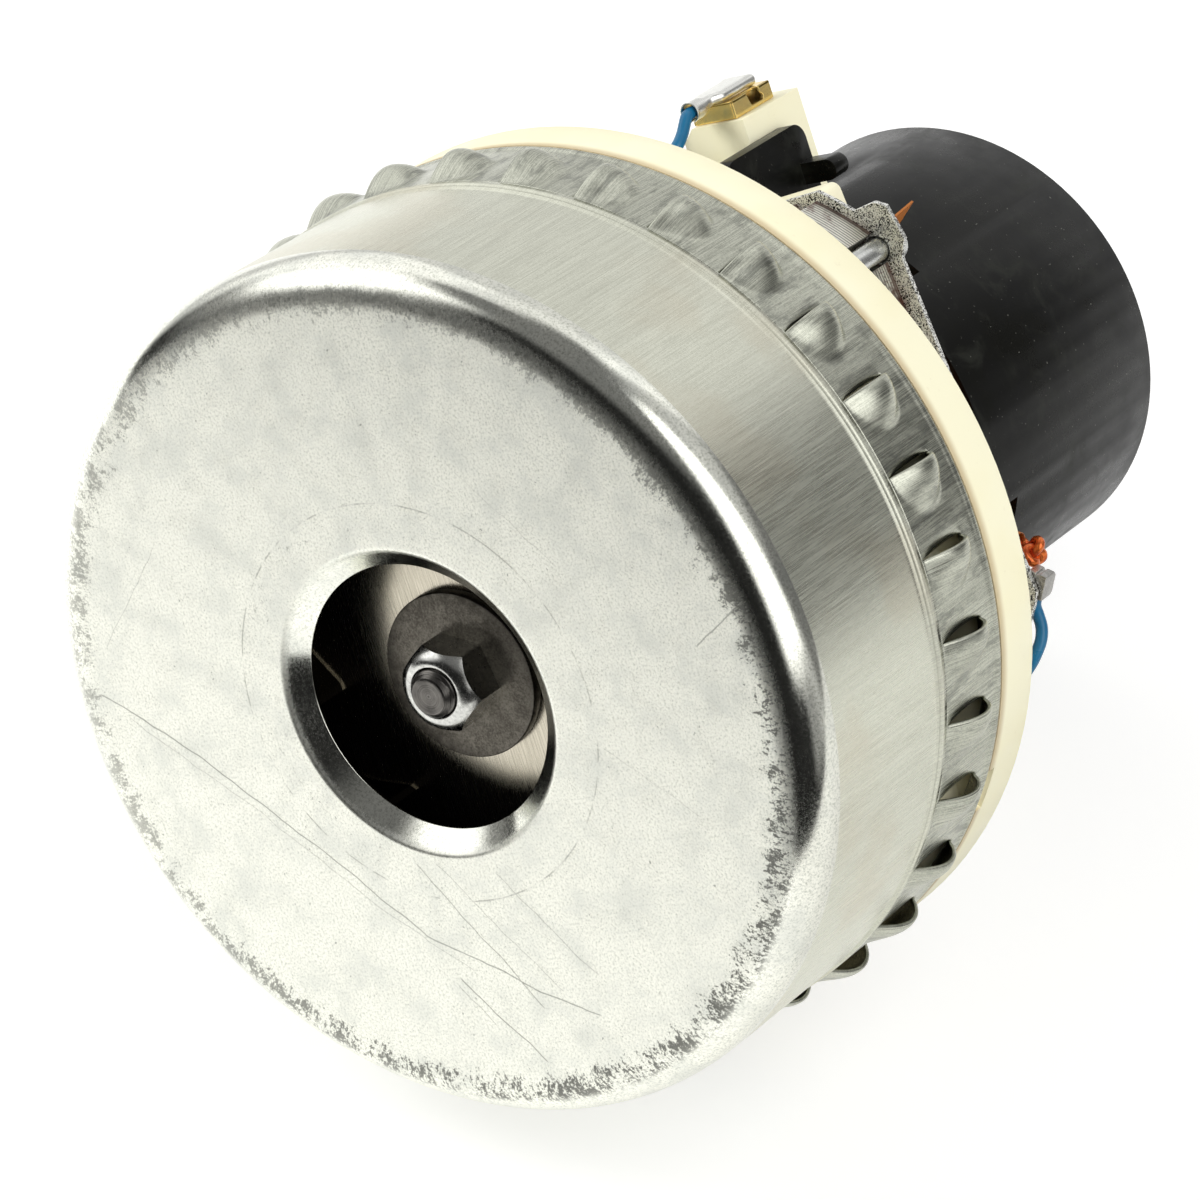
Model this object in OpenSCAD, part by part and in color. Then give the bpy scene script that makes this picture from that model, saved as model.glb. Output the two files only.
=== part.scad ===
// Two-stage vacuum motor unit, millimetres.
// It stands on its inlet face: z = 0 is the outside of that face, +Z runs along the shaft to the hood,
// and +X runs through one of the two brush towers.

/* [Fan can] */
// Outside diameter of the drawn can
can_d = 144; // [140:0.5:148]
// Sheet thickness of the can
sheet_t = 0.8; // [0.6:0.1:1]
// Outside radius of the rolled corner at the face
corner_r = 7; // [5:0.5:8]
// Height of the wider band at the open rim, above the joggle
band_h = 18; // [17:0.5:19]
// How far the joggle steps the wall outward
joggle = 0.4; // [0.2:0.1:0.6]
// Height of the can from its face to its open rim
can_h = 55; // [54.5:0.5:56]
// Diameter of the inlet throat
throat_d = 44.6; // [42:0.2:45]
// Outside radius of the rolled inlet lip
lip_r = 4.6; // [4:0.2:5]
// Depth of the inlet throat below the face
throat_h = 5.2; // [5:0.2:5.8]

/* [Louvres] */
// Number of exhaust scoops round the can
louvre_n = 33; // [24:1:33]
// Length of each scoop along the shaft
louvre_len = 11.6; // [8:0.2:12]
// Height of each scoop above the wall
louvre_rise = 3.3; // [2:0.1:4]
// Depth of the axis that the scoop is revolved about
louvre_depth = 7.5; // [7:0.5:10]
// Middle of the scoops below the open rim
louvre_in = 10.6; // [10:0.1:11]
// Angle of the first scoop from the brush tower
louvre_phase = 2.4; // [0:0.2:10]

/* [Fans] */
// Diameter of both fan wheels
fan_d = 124; // [116:1:128]
// Thickness of the fan sheets
fan_t = 1; // [0.8:0.1:1.2]
// Width of the air passage between the two sheets
fan_gap = 8; // [7.6:0.1:8.2]
// Diameter of the eye in the front sheet
eye_d = 48.4; // [47:0.2:52]
// Number of vanes in each wheel
vane_n = 8; // [6:1:10]
// Angle that each fan vane sweeps through
vane_sweep = 62; // [40:2:80]
// Diameter of the clamp washers
washer_d = 27.8; // [24:0.2:30]
// Thickness of the clamp washers
washer_t = 2; // [1.6:0.1:2.4]
// Thread size of the shaft end
thread_d = 8; // [8:1:8]
// Width across the flats of the shaft nut
nut_af = 13; // [12:0.5:14]
// Height of the shaft nut
nut_h = 6.8; // [6:0.1:7]

/* [Motor bracket] */
// Diameter of the bracket flange
flange_d = 145.4; // [145:0.2:147]
// Thickness of the flange behind the can's rim
flange_t = 9.2; // [8.4:0.2:10]
// Number of guide vanes behind the scoops
guide_n = 12; // [9:1:16]
// Number of ribs on the back of the bracket
rib_n = 12; // [8:1:16]

/* [Motor] */
// Diameter of the lamination stack over its round sides
stack_d = 106; // [104:0.5:107]
// Width of the stack over its flats
stack_w = 83.6; // [82:0.2:85]
// Thickness of the lamination stack
stack_h = 28; // [26:0.5:29]
// Top of the stack above the can's rim
stack_up = 45; // [44.8:0.1:45.2]
// Angle from the brush axis to the field pole axis
pole_angle = 84.5; // [82:0.5:87]
// Diameter of the armature
armature_d = 48; // [46:0.2:48.6]
// Air gap between the armature and the poles
air_gap = 0.6; // [0.4:0.1:0.8]
// Number of armature slots and commutator bars
slot_n = 22; // [18:1:24]
// Diameter of the commutator
commutator_d = 27; // [26:0.5:28]

/* [Brushes] */
// Height of the brush axis above the stack
brush_up = 25.3; // [25:0.1:25.6]
// Width of a brush across the shaft
brush_w = 6.4; // [6:0.1:6.6]
// Height of a brush along the shaft
brush_h = 9.8; // [9.4:0.1:10.2]
// Length of a new brush
brush_l = 24; // [20:0.5:26]
// Width of a brush tower
tower_w = 13; // [12.6:0.2:13.4]
// Height of a brush tower along the shaft
tower_h = 17.6; // [17:0.2:18]
// Distance from the shaft axis to the end of a tower
tower_x = 56; // [55:0.5:57]

/* [Hood] */
// Outside diameter of the hood
hood_d = 78.2; // [77.6:0.2:79]
// Wall of the hood
hood_t = 2; // [1.6:0.1:2.2]
// End of the hood above the stack
hood_up = 66.5; // [65.5:0.5:68]
// Diameter of the insulated leads
lead_d = 2.1; // [1.8:0.1:2.4]

/* [Hidden] */
$fn = 96;
// Slack between pieces that are fitted together
fit = 0.03;
// Slack of the sliding and turning fits
run = 0.05;
// A little more than nothing, for cuts that run past a face
past = 0.5;

can_r = can_d / 2;
wall_h = can_h - band_h;
louvre_z = can_h - louvre_in;
band_r = can_r + joggle;
band_in = band_r - sheet_t;
throat_r = throat_d / 2;
lip_x = throat_r + lip_r;
shaft_r = thread_d / 2;

// Stations of the clamped pile on the shaft, from the nut upward
shaft_z0 = 3;
nut_z = 5;
washer_z = nut_z + nut_h;
fan_z = washer_z + washer_t;
fan_back = fan_z + fan_t;
washer_b = fan_back + washer_t;
web_z = can_h - 3.5;
hub_z0 = web_z - 3;
fan2_z = hub_z0 - 3.5 - washer_t - fan_t;
washer_c = fan2_z - washer_t;
washer_d2 = fan2_z + fan_t;
collar_z = washer_d2 + washer_t;

// Interstage plates
eye_plate_z = fan2_z - fan_gap - fan_t - 2;
eye_plate_t = 0.8;
guide_z = fan_back + 4.2;
guide_r = can_r - 6;

// Bearings: lower in the motor bracket, upper in the brush bracket
seat_t = 0.5;
low_z = web_z + seat_t;
low_w = 8;
low_od = 26;
low_id = 10;
up_z = can_h + stack_up + 41;
up_w = 7;
up_od = 22;
up_id = 8;

// Motor bracket
spigot_r = band_in - 0.15;
web_t = 4;
flange_r = flange_d / 2;
flange_z = can_h + flange_t;
rim_in = flange_r - 3.9;
hub_r = 17.5;
hub_z1 = low_z + low_w + 1;

// Stack and clamp plate
stack_r = stack_d / 2;
stack_z = can_h + stack_up;
stack_z0 = stack_z - stack_h;
bore_r = armature_d / 2 + air_gap;
plate_t = 1;
plate_z = stack_z + plate_t;
bolt_r = stack_r - 1.8;
bolt_a = 47.5;
tie_r = stack_r - 5.5;
tie_in = acos((stack_w / 2 - 3.4) / tie_r);
tie_a = pole_angle - 90 - tie_in;
bolt_d = 4;
plate_r = stack_r + 1.6;
plate_x = stack_w / 2 + 1;
plate_y = stack_w / 2 + 2.9;
slot_share = 0.78;
window_r = bore_r + slot_share * (stack_w / 2 - bore_r);
coil_in = bore_r + 4.4;
coil_out = window_r - 1.6;
shoe_r = coil_in - 1;
window_a = 48;
shoe_a = 27;
paper_t = 0.4;
paper_past = 3;

// Field coils
coil_a0 = 14.5;
coil_a1 = 45.5;
coil_low = stack_z0 - 11;
coil_top = stack_z + 11.5;

// Armature
core_r = armature_d / 2;
wind_low = stack_z0 - 9.5;
wind_top = stack_z + 11;
comm_z0 = stack_z + 15;
comm_z1 = comm_z0 + 20.5;
comm_r = commutator_d / 2;
comm_wall = 3.5;
mid_r = 6;
spacer_r = 8;

// Brush bracket
base_top = stack_z + 7;
base_in = coil_out + 2.4;
base_x0 = 30;
base_x1 = plate_x - 0.3;
base_y = tie_r * sin(tie_in) + 5.5;
ring_r0 = 30;
ring_r1 = hood_d / 2 - hood_t - 0.3;
brush_z = stack_z + brush_up;
tower_z0 = brush_z - 7.3;
tower_z1 = tower_z0 + tower_h;
tower_x0 = 16.5;
tube_t = 0.5;
tube_w = brush_w + 2 * run + 2 * tube_t;
tube_h = brush_h + 2 * run + 2 * tube_t;
tube_end = tower_x + 2.5;
cup_r = up_od / 2 + 3.5;

// Hood
hood_r = hood_d / 2;
hood_z = stack_z + hood_up;
tongue_z = stack_z + 10.5;
skirt_z = stack_z + 20;
tongue_mid = 82.5;
tongue_a = 31.8;
arm_t = 3;
arm_y = tower_w / 2 + 0.6;
arm_x = tower_x - 4.2;
arm_z0 = base_top - 2.5;
arm_z1 = stack_z + 28.8;
catch_x = arm_x - 10.2;
catch_w = 3.7;
arm_corner = 3;
cool_z = stack_z + 50;
cool_hub_r = 9;
cool_vane_h = 10;
cool_r = hood_r - hood_t - 3.1;
shaft_end = cool_z + 9;

// Brush end clip and receptacle
clip_t = 0.7;
grip_t = 0.5;
tab_x = tube_end + clip_t + grip_t + 0.1;
crimp_x = tube_end + 1.2;

// Insulated leads: the route of lead A, which lead B repeats half a turn away.
// Each point is [distance outside the stack's round, angle from its tower, height above the clamp plate].
lead_route = [
    [0.5, -58.6, 1.8],
    [0.54, -56.35, 1.8],
    [1.6, -54.6, 1.9],
    [2.9, -53.1, 1.5],
    [3.9, -51.6, 0.5],
    [4.4, -49.9, -0.7],
    [4.6, -47.8, -1.7],
    [4.4, -45.4, -2.3],
    [4.0, -42.0, -2.4],
    [3.4, -34.0, -1.6],
    [2.8, -26.0, -0.6],
    [2.2, -18.0, 0.6],
    [1.8, -11.0, 2.0],
    [1.6, -6.0, 3.2],
    [1.7, -3.2, 4.0],
    [2.1, -1.2, 5.0],
    [2.9, -0.2, 6.4],
    [4.2, 0.0, 8.4],
    [5.5, 0.0, 9.9],
    [6.4, 0.0, 11.0],
    [crimp_x - stack_r, 0.0, 12.2],
    [crimp_x - stack_r, 0.0, 14.4]
];

// Small helpers

module tube(r1, r0, z0, z1) {
    translate([0, 0, z0])
        difference() {
            cylinder(r = r1, h = z1 - z0);
            translate([0, 0, -past]) cylinder(r = r0, h = z1 - z0 + 2 * past);
        }
}

module disc(r, z0, z1) {
    translate([0, 0, z0]) cylinder(r = r, h = z1 - z0);
}

// A flat pie slice between two angles, good for less than half a turn
module slice(r, a0, a1) {
    far = 2 * r;
    polygon([
        [0, 0],
        [far * cos(a0), far * sin(a0)],
        [far * cos((a0 + a1) / 2), far * sin((a0 + a1) / 2)],
        [far * cos(a1), far * sin(a1)]
    ]);
}

// A flat piece of ring between two radii and two angles
module ring_part(r1, r0, a0, a1) {
    intersection() {
        difference() {
            circle(r = r1);
            circle(r = r0);
        }
        slice(r1, a0, a1);
    }
}

module sector(r1, r0, a0, a1, z0, z1) {
    translate([0, 0, z0]) linear_extrude(height = z1 - z0) ring_part(r1, r0, a0, a1);
}

// A vane that sweeps along a logarithmic spiral from r0 to r1
module vane(r0, r1, sweep, t, steps = 8) {
    function turn(r) = sweep * ln(r / r0) / ln(r1 / r0);
    function half(r) = 180 / PI * t / 2 / r;
    rs = [for (i = [0:steps]) r0 + (r1 - r0) * i / steps];
    lead = [for (r = rs) r * [cos(turn(r) + half(r)), sin(turn(r) + half(r))]];
    trail = [for (i = [steps:-1:0]) rs[i] * [cos(turn(rs[i]) - half(rs[i])), sin(turn(rs[i]) - half(rs[i]))]];
    polygon(concat(lead, trail));
}

// Both copies of a piece that sits half a turn apart
module pair() {
    children();
    rotate([0, 0, 180]) children();
}

// Box given by its limits
module block(x, y, z) {
    translate([x[0], y[0], z[0]]) cube([x[1] - x[0], y[1] - y[0], z[1] - z[0]]);
}

// The fan can: a drawn sheet with a rolled inlet lip, a rolled corner, a joggle and a belt of scoops

module can_profile() {
    face_x = can_r - corner_r;
    difference() {
        union() {
            translate([lip_x, 0]) square([face_x - lip_x, sheet_t]);
            // rolled corner
            intersection() {
                translate([face_x, corner_r])
                    difference() {
                        circle(r = corner_r);
                        circle(r = corner_r - sheet_t);
                    }
                translate([face_x, 0]) square([corner_r, corner_r]);
            }
            translate([can_r - sheet_t, corner_r]) square([sheet_t, wall_h - corner_r]);
            // joggle
            polygon([
                [can_r - sheet_t, wall_h],
                [can_r, wall_h],
                [band_r, wall_h + joggle],
                [band_r, wall_h + 3 * joggle],
                [band_in, wall_h + 3 * joggle],
                [band_in, wall_h + joggle]
            ]);
            translate([band_in, wall_h + 2 * joggle]) square([sheet_t, can_h - wall_h - 2 * joggle]);
            // rolled inlet lip and its short throat
            intersection() {
                translate([lip_x, lip_r])
                    difference() {
                        circle(r = lip_r);
                        circle(r = lip_r - sheet_t);
                    }
                translate([throat_r, 0]) square([lip_r, lip_r]);
            }
            translate([throat_r, lip_r]) square([sheet_t, throat_h - lip_r]);
        }
    }
}

// Solid under a scoop: an arch revolved about an axis inside the wall, so that it dives into the wall
module scoop(rise, half_len) {
    arch_r = (half_len * half_len + rise * rise) / (2 * rise);
    dive = acos(louvre_depth / (louvre_depth + rise)) + 4;
    translate([band_r - louvre_depth, 0, louvre_z])
        rotate_extrude(angle = dive)
            intersection() {
                translate([louvre_depth + rise - arch_r, 0]) circle(r = arch_r);
                translate([louvre_depth - 1.6, -half_len - past]) square([rise + 2, 2 * half_len + 2 * past]);
            }
}

module fan_can() {
    step = 360 / louvre_n;
    color("silver")
        difference() {
            union() {
                rotate_extrude() can_profile();
                for (k = [0:louvre_n - 1])
                    rotate([0, 0, louvre_phase + k * step]) scoop(louvre_rise, louvre_len / 2);
            }
            for (k = [0:louvre_n - 1])
                rotate([0, 0, louvre_phase + k * step])
                    translate([0, -0.01, 0]) scoop(louvre_rise - sheet_t, louvre_len / 2 - sheet_t);
            disc(band_in, wall_h + 2 * joggle, can_h + past);
        }
}

// Fan wheels: two sheets with swept vanes between them

module fan_wheel(z_back) {
    front = z_back - fan_gap - fan_t;
    tube(fan_d / 2, shaft_r + fit, z_back, z_back + fan_t);
    tube(fan_d / 2, eye_d / 2, front, front + fan_t);
    translate([0, 0, front + fan_t])
        linear_extrude(height = fan_gap)
            for (k = [0:vane_n - 1])
                rotate(k * 360 / vane_n) vane(eye_d / 2 + 1.5, fan_d / 2 - 0.5, vane_sweep, 1.2);
}

module fan_stage_one() {
    color("tan") fan_wheel(fan_z);
}

module fan_stage_two() {
    color("tan") fan_wheel(fan2_z);
}

// Stationary plates that lead the air from the first wheel back to the eye of the second

module return_guide() {
    color("lightgray") {
        tube(guide_r, 9.5, guide_z, guide_z + 0.8);
        translate([0, 0, guide_z + 0.8])
            linear_extrude(height = eye_plate_z - eye_plate_t - guide_z - 0.8)
                for (k = [0:8]) rotate(k * 40) vane(25, guide_r - 1, -70, 1.2);
    }
}

module eye_plate() {
    color("gainsboro") tube(can_r - sheet_t - 0.2, eye_d / 2 - 2, eye_plate_z - eye_plate_t, eye_plate_z);
}

// The clamped pile on the shaft

module shaft_nut() {
    across = nut_af / cos(30);
    color("lightsteelblue")
        difference() {
            intersection() {
                translate([0, 0, nut_z]) cylinder(d = across, h = nut_h, $fn = 6);
                // turned chamfer on the outer end
                translate([0, 0, nut_z])
                    cylinder(r1 = nut_af / 2 - 0.3, r2 = nut_af / 2 - 0.3 + nut_h * 1.6, h = nut_h);
            }
            disc(shaft_r + fit, nut_z - past, washer_z + past);
        }
}

module clamp_washers() {
    color("gray") {
        tube(washer_d / 2, shaft_r + fit, washer_z, fan_z);
        tube(washer_d / 2, shaft_r + fit, fan_back, washer_b);
        tube(washer_d / 2, shaft_r + fit, washer_c, fan2_z);
        tube(washer_d / 2, shaft_r + fit, washer_d2, collar_z);
    }
}

module fan_spacer() {
    color("silver") tube(spacer_r, shaft_r + fit, washer_b, washer_c);
}

module bearing_collar() {
    color("silver") tube(low_id / 2 + 2, shaft_r + fit, collar_z, low_z);
}

module shaft() {
    color("dimgray") {
        translate([0, 0, shaft_z0]) cylinder(r1 = shaft_r - 0.8, r2 = shaft_r, h = 0.8);
        disc(shaft_r, shaft_z0 + 0.8, low_z);
        disc(low_id / 2, low_z, low_z + low_w);
        disc(mid_r, low_z + low_w, up_z);
        disc(up_id / 2, up_z, shaft_end);
    }
}

// Bearings

module race_outer(z0, w, od, id) {
    pitch = (od + id) / 4;
    ball = (od - id) * 0.149;
    rotate_extrude()
        difference() {
            translate([pitch + ball * 0.55, z0]) square([od / 2 - pitch - ball * 0.55, w]);
            translate([pitch, z0 + w / 2]) circle(r = ball + run);
        }
    // shields
    tube(pitch + ball * 0.55 + 0.2, pitch - ball * 0.45, z0 + 0.4, z0 + 0.7);
    tube(pitch + ball * 0.55 + 0.2, pitch - ball * 0.45, z0 + w - 0.7, z0 + w - 0.4);
}

module race_inner(z0, w, od, id) {
    pitch = (od + id) / 4;
    ball = (od - id) * 0.149;
    rotate_extrude()
        difference() {
            translate([id / 2 + fit, z0]) square([pitch - ball * 0.55 - id / 2 - fit, w]);
            translate([pitch, z0 + w / 2]) circle(r = ball + run);
        }
}

module race_balls(z0, w, od, id) {
    pitch = (od + id) / 4;
    ball = (od - id) * 0.149;
    for (k = [0:6]) rotate([0, 0, k * 360 / 7]) translate([pitch, 0, z0 + w / 2]) sphere(r = ball);
}

module lower_bearing_outer() {
    color("silver") race_outer(low_z, low_w, low_od, low_id);
}

module lower_bearing_inner() {
    color("silver") race_inner(low_z, low_w, low_od, low_id);
}

module lower_bearing_balls() {
    color("white") race_balls(low_z, low_w, low_od, low_id);
}

module upper_bearing_outer() {
    color("silver") race_outer(up_z, up_w, up_od, up_id);
}

module upper_bearing_inner() {
    color("silver") race_inner(up_z, up_w, up_od, up_id);
}

module upper_bearing_balls() {
    color("white") race_balls(up_z, up_w, up_od, up_id);
}

// Motor bracket: flange, spigot, web with ribs, bearing hub, stack posts and the guide vanes

module post(r0, r1, a, width) {
    sector(r1, r0, a - width / 2, a + width / 2, web_z + web_t - past, stack_z0);
}

module motor_bracket() {
    color("ivory")
        difference() {
            union() {
                // web and spigot inside the can's rim
                disc(spigot_r, web_z, web_z + web_t);
                // flange rim, whose front face closes the can's rim
                difference() {
                    disc(flange_r, can_h, flange_z);
                    disc(rim_in, web_z + web_t, flange_z + past);
                }
                // small bead on the flange edge
                tube(flange_r, flange_r - 3, flange_z, flange_z + 0.4);
                // hub and ribs
                disc(hub_r, hub_z0, hub_z1);
                for (k = [0:rib_n - 1])
                    rotate([0, 0, 7.5 + k * 360 / rib_n])
                        block([hub_r - 1, rim_in + 1], [-1.25, 1.25],
                            [web_z + web_t - 1, web_z + web_t + 3.2]);
                // ring that ties the posts
                tube(46.5, 43.5, web_z + web_t - 1, web_z + web_t + 5);
                pair() {
                    post(bolt_r - 7.7, bolt_r + 1.3, bolt_a, 16);
                    post(tie_r - 4, tie_r + 5, tie_a, 16);
                }
                // guide vanes that carry the eye plate
                translate([0, 0, eye_plate_z])
                    linear_extrude(height = web_z - eye_plate_z + past)
                        for (k = [0:guide_n - 1])
                            rotate(k * 360 / guide_n) vane(64.5, can_r - sheet_t - 0.5, 9, 2.4, 4);
            }
            // lower bearing seat and the way through for the collar
            disc(low_od / 2 + fit, low_z, hub_z1 + past);
            disc(low_id / 2 + 4, hub_z0 - past, low_z + past);
            // tapped holes
            pair() {
                for (place = [[bolt_r, bolt_a], [tie_r, tie_a]])
                    rotate([0, 0, place[1]])
                        translate([place[0], 0, web_z + 1]) cylinder(d = bolt_d + 2 * fit, h = 40);
            }
            // locating notch in the front lip of the flange
            rotate([0, 0, 127]) block([flange_r - 0.9, flange_r + 2], [-4, 4], [can_h - past, can_h + 1.6]);
        }
}

// Stator

// Square sheet with its corners rounded to one circle
module stack_outline(r, half_x, half_y) {
    intersection() {
        circle(r = r);
        square([2 * half_x, 2 * half_y], center = true);
    }
}

module stator_core() {
    color("darkgray")
        translate([0, 0, stack_z0])
            linear_extrude(height = stack_h)
                difference() {
                    rotate(pole_angle - 90) stack_outline(stack_r, stack_w / 2, stack_w / 2);
                    circle(r = bore_r);
                    rotate(pole_angle - 90)
                        for (side = [0, 180])
                            rotate(side) {
                                ring_part(window_r, shoe_r, -window_a, window_a);
                                ring_part(shoe_r + past, bore_r - past, -shoe_a, shoe_a);
                            }
                    for (side = [0, 180])
                        rotate(side) {
                            // open grooves for the stack bolts
                            rotate(bolt_a) translate([bolt_r, 0]) circle(d = bolt_d + 1.2);
                            rotate(bolt_a) translate([bolt_r, -bolt_d / 2 - 0.3]) square([6, bolt_d + 0.6]);
                            // the empty groove at the other end of the same corner
                            rotate(2 * pole_angle - 90 - bolt_a)
                                translate([bolt_r + 0.6, 0]) circle(d = bolt_d);
                            rotate(tie_a) translate([tie_r, 0]) circle(d = bolt_d + 0.6);
                        }
                }
}

// Ear of the clamp plate, drawn with its bolt on +X
plate_ear = [
    [stack_r - 9, -9.5], [stack_r + 1.5, -6.6], [stack_r + 5, -4.5], [stack_r + 5.9, -2.4],
    [stack_r + 4.3, 0.8], [stack_r + 3, 3.1], [stack_r - 0.3, 4.3], [stack_r - 9, 6]
];

// Galvanised plate on top of the stack, with an ear for each stack bolt
module clamp_plate() {
    color("lightgray")
        translate([0, 0, stack_z])
            linear_extrude(height = plate_t)
                difference() {
                    union() {
                        rotate(pole_angle - 90)
                            difference() {
                                stack_outline(plate_r, plate_x, plate_y);
                                circle(r = coil_out + 2.2);
                            }
                        for (side = [0, 180]) rotate(side + bolt_a) polygon(plate_ear);
                    }
                    for (side = [0, 180]) {
                        rotate(side + bolt_a) translate([bolt_r, 0]) circle(d = bolt_d + 0.6);
                        rotate(side + tie_a) translate([tie_r, 0]) circle(d = bolt_d + 0.6);
                    }
                }
}

// One field coil round the pole at local +Y: two sides in the slots and two arched ends
module coil() {
    rotate([0, 0, pole_angle - 90]) {
        for (a = [coil_a0, 180 - coil_a1])
            sector(coil_out, coil_in, a, a + coil_a1 - coil_a0, coil_low, coil_top);
        sector(coil_out, coil_in, coil_a0, 90, plate_z + 1, coil_top);
        sector(coil_out, coil_in, 90, 180 - coil_a0, plate_z + 1, coil_top);
        sector(coil_out, coil_in, coil_a0, 90, coil_low, stack_z0 - 1);
        sector(coil_out, coil_in, 90, 180 - coil_a0, coil_low, stack_z0 - 1);
    }
}

module field_coil_a() {
    color("chocolate") coil();
}

module field_coil_b() {
    color("chocolate") rotate([0, 0, 180]) coil();
}

// Amber papers that line the slots behind the coils
module slot_papers() {
    color("peru")
        rotate([0, 0, pole_angle - 90])
            for (side = [0, 180])
                rotate([0, 0, side])
                    sector(window_r - paper_t / 2, window_r - 1.5 * paper_t,
                        -window_a + 1.5, window_a - 1.5, stack_z0 - paper_past, plate_z + paper_past);
}

// Varnished wire that leaves each coil over the clamp plate
module lead_out() {
    knot_x = 49.8;
    rotate([0, 0, 115]) {
        translate([coil_out + fit, 0, plate_z + 4.6])
            rotate([0, 90, 0]) cylinder(r = 2.4, h = knot_x - coil_out);
        translate([knot_x, 0, plate_z + 4.6]) sphere(r = 2.8);
    }
}

module lead_out_a() {
    color("orangered") lead_out();
}

module lead_out_b() {
    color("orangered") rotate([0, 0, 180]) lead_out();
}

// Stiff amber paper that shields the other end of each coil beside the stack bolt
module paper_tip() {
    rotate([0, 0, bolt_a - 3])
        translate([0, 0.2, 0])
            rotate([90, 0, 0])
                linear_extrude(height = paper_t)
                    polygon([
                        [coil_out + 3, plate_z],
                        [46.6, plate_z],
                        [48.2, plate_z + 4.4],
                        [53.4, plate_z + 4.4],
                        [54.6, plate_z + 11.4],
                        [50.6, plate_z + 11.4],
                        [coil_out + 3, base_top]
                    ]);
}

module paper_tip_a() {
    color("peru") paper_tip();
}

module paper_tip_b() {
    color("peru") rotate([0, 0, 180]) paper_tip();
}

// Tinned crimp that joins the coil wire to an insulated lead
module lead_splice() {
    start = lead_route[0];
    half = 1.6;
    rotate([0, 0, start[1]])
        block([stack_r + start[0] - half, stack_r + start[0] + half], [-4.2, 0], [plate_z, plate_z + 3.4]);
}

module lead_splice_a() {
    color("lightsteelblue") lead_splice();
}

module lead_splice_b() {
    color("lightsteelblue") rotate([0, 0, 180]) lead_splice();
}

// Bolts

module bolt(r, z0, z1) {
    translate([r, 0, z0]) cylinder(d = bolt_d, h = z1 - z0 + 0.2);
    difference() {
        translate([r, 0, z1]) cylinder(d = 7, h = 2.8);
        translate([r - 4, -0.5, z1 + 1.8]) cube([8, 1, 2]);
    }
}

module stack_bolts() {
    color("gainsboro") pair() rotate([0, 0, bolt_a]) bolt(bolt_r, web_z + 4, plate_z);
}

module tie_bolts() {
    color("gainsboro") pair() rotate([0, 0, tie_a]) bolt(tie_r, web_z + 4, base_top);
}

// Armature

module armature_core() {
    color("slategray")
        translate([0, 0, stack_z0])
            linear_extrude(height = stack_h)
                difference() {
                    circle(r = core_r);
                    circle(r = mid_r + fit);
                    for (k = [0:slot_n - 1])
                        rotate(k * 360 / slot_n) {
                            translate([core_r - 5.2, 0]) circle(r = 1.7, $fn = 24);
                            translate([core_r - 5.2, -0.9]) square([6.5, 1.8]);
                        }
                }
}

// Wound and varnished ends of the armature, with the wires seen as lobes
module armature_winding() {
    color("sienna")
        for (z = [[wind_low, stack_z0], [stack_z, wind_top]])
            translate([0, 0, z[0]])
                linear_extrude(height = z[1] - z[0])
                    difference() {
                        circle(r = core_r - 3);
                        circle(r = mid_r + 1.2);
                        for (k = [0:slot_n - 1])
                            rotate((k + 0.5) * 360 / slot_n)
                                translate([core_r - 2.4, 0]) circle(r = 1.5, $fn = 24);
                    }
}

module commutator_bars() {
    bar = 360 / slot_n;
    color("darkgoldenrod")
        difference() {
            union() {
                tube(comm_r, comm_r - comm_wall, comm_z0, comm_z1);
                tube(comm_r + 1.8, comm_r - comm_wall, comm_z0, comm_z0 + 2.4);
            }
            for (k = [0:slot_n - 1])
                rotate([0, 0, k * bar])
                    block([comm_r - 1.2, comm_r + 3], [-0.3, 0.3], [comm_z0 - past, comm_z1 + past]);
        }
}

module commutator_hub() {
    color("saddlebrown") tube(comm_r - comm_wall - fit, mid_r + fit, comm_z0 - 1.5, comm_z1);
}

// Cooling fan on the far end of the shaft
module cooling_fan() {
    color("dimgray")
        difference() {
            union() {
                disc(cool_r, cool_z, cool_z + 1.4);
                disc(cool_hub_r, cool_z, shaft_end);
                translate([0, 0, cool_z + 1])
                    linear_extrude(height = cool_vane_h)
                        for (k = [0:10]) rotate(k * 360 / 11) vane(15, cool_r - 0.4, 34, 1.5);
            }
            disc(up_id / 2 + fit, cool_z - past, shaft_end + 3);
        }
}

// Brush bracket: a base along each straight side of the clamp plate, towers, ring and upper bearing cup

// Tower seen along the shaft, with one corner cut off beside the lead
module tower_outline() {
    half = tower_w / 2;
    polygon([
        [tower_x0, -half], [tower_x - 2.3, -half], [tower_x, -half + 2.3], [tower_x, half], [tower_x0, half]
    ]);
}

module base_outline() {
    round_r = 1.5;
    difference() {
        union() {
            translate([base_x0, -base_y]) square([base_x1 - base_x0 - round_r, 2 * base_y]);
            translate([base_x0, -base_y + round_r]) square([base_x1 - base_x0, 2 * (base_y - round_r)]);
            for (side = [-1, 1])
                translate([base_x1 - round_r, side * (base_y - round_r)]) circle(r = round_r);
        }
        circle(r = base_in);
    }
}

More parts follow.
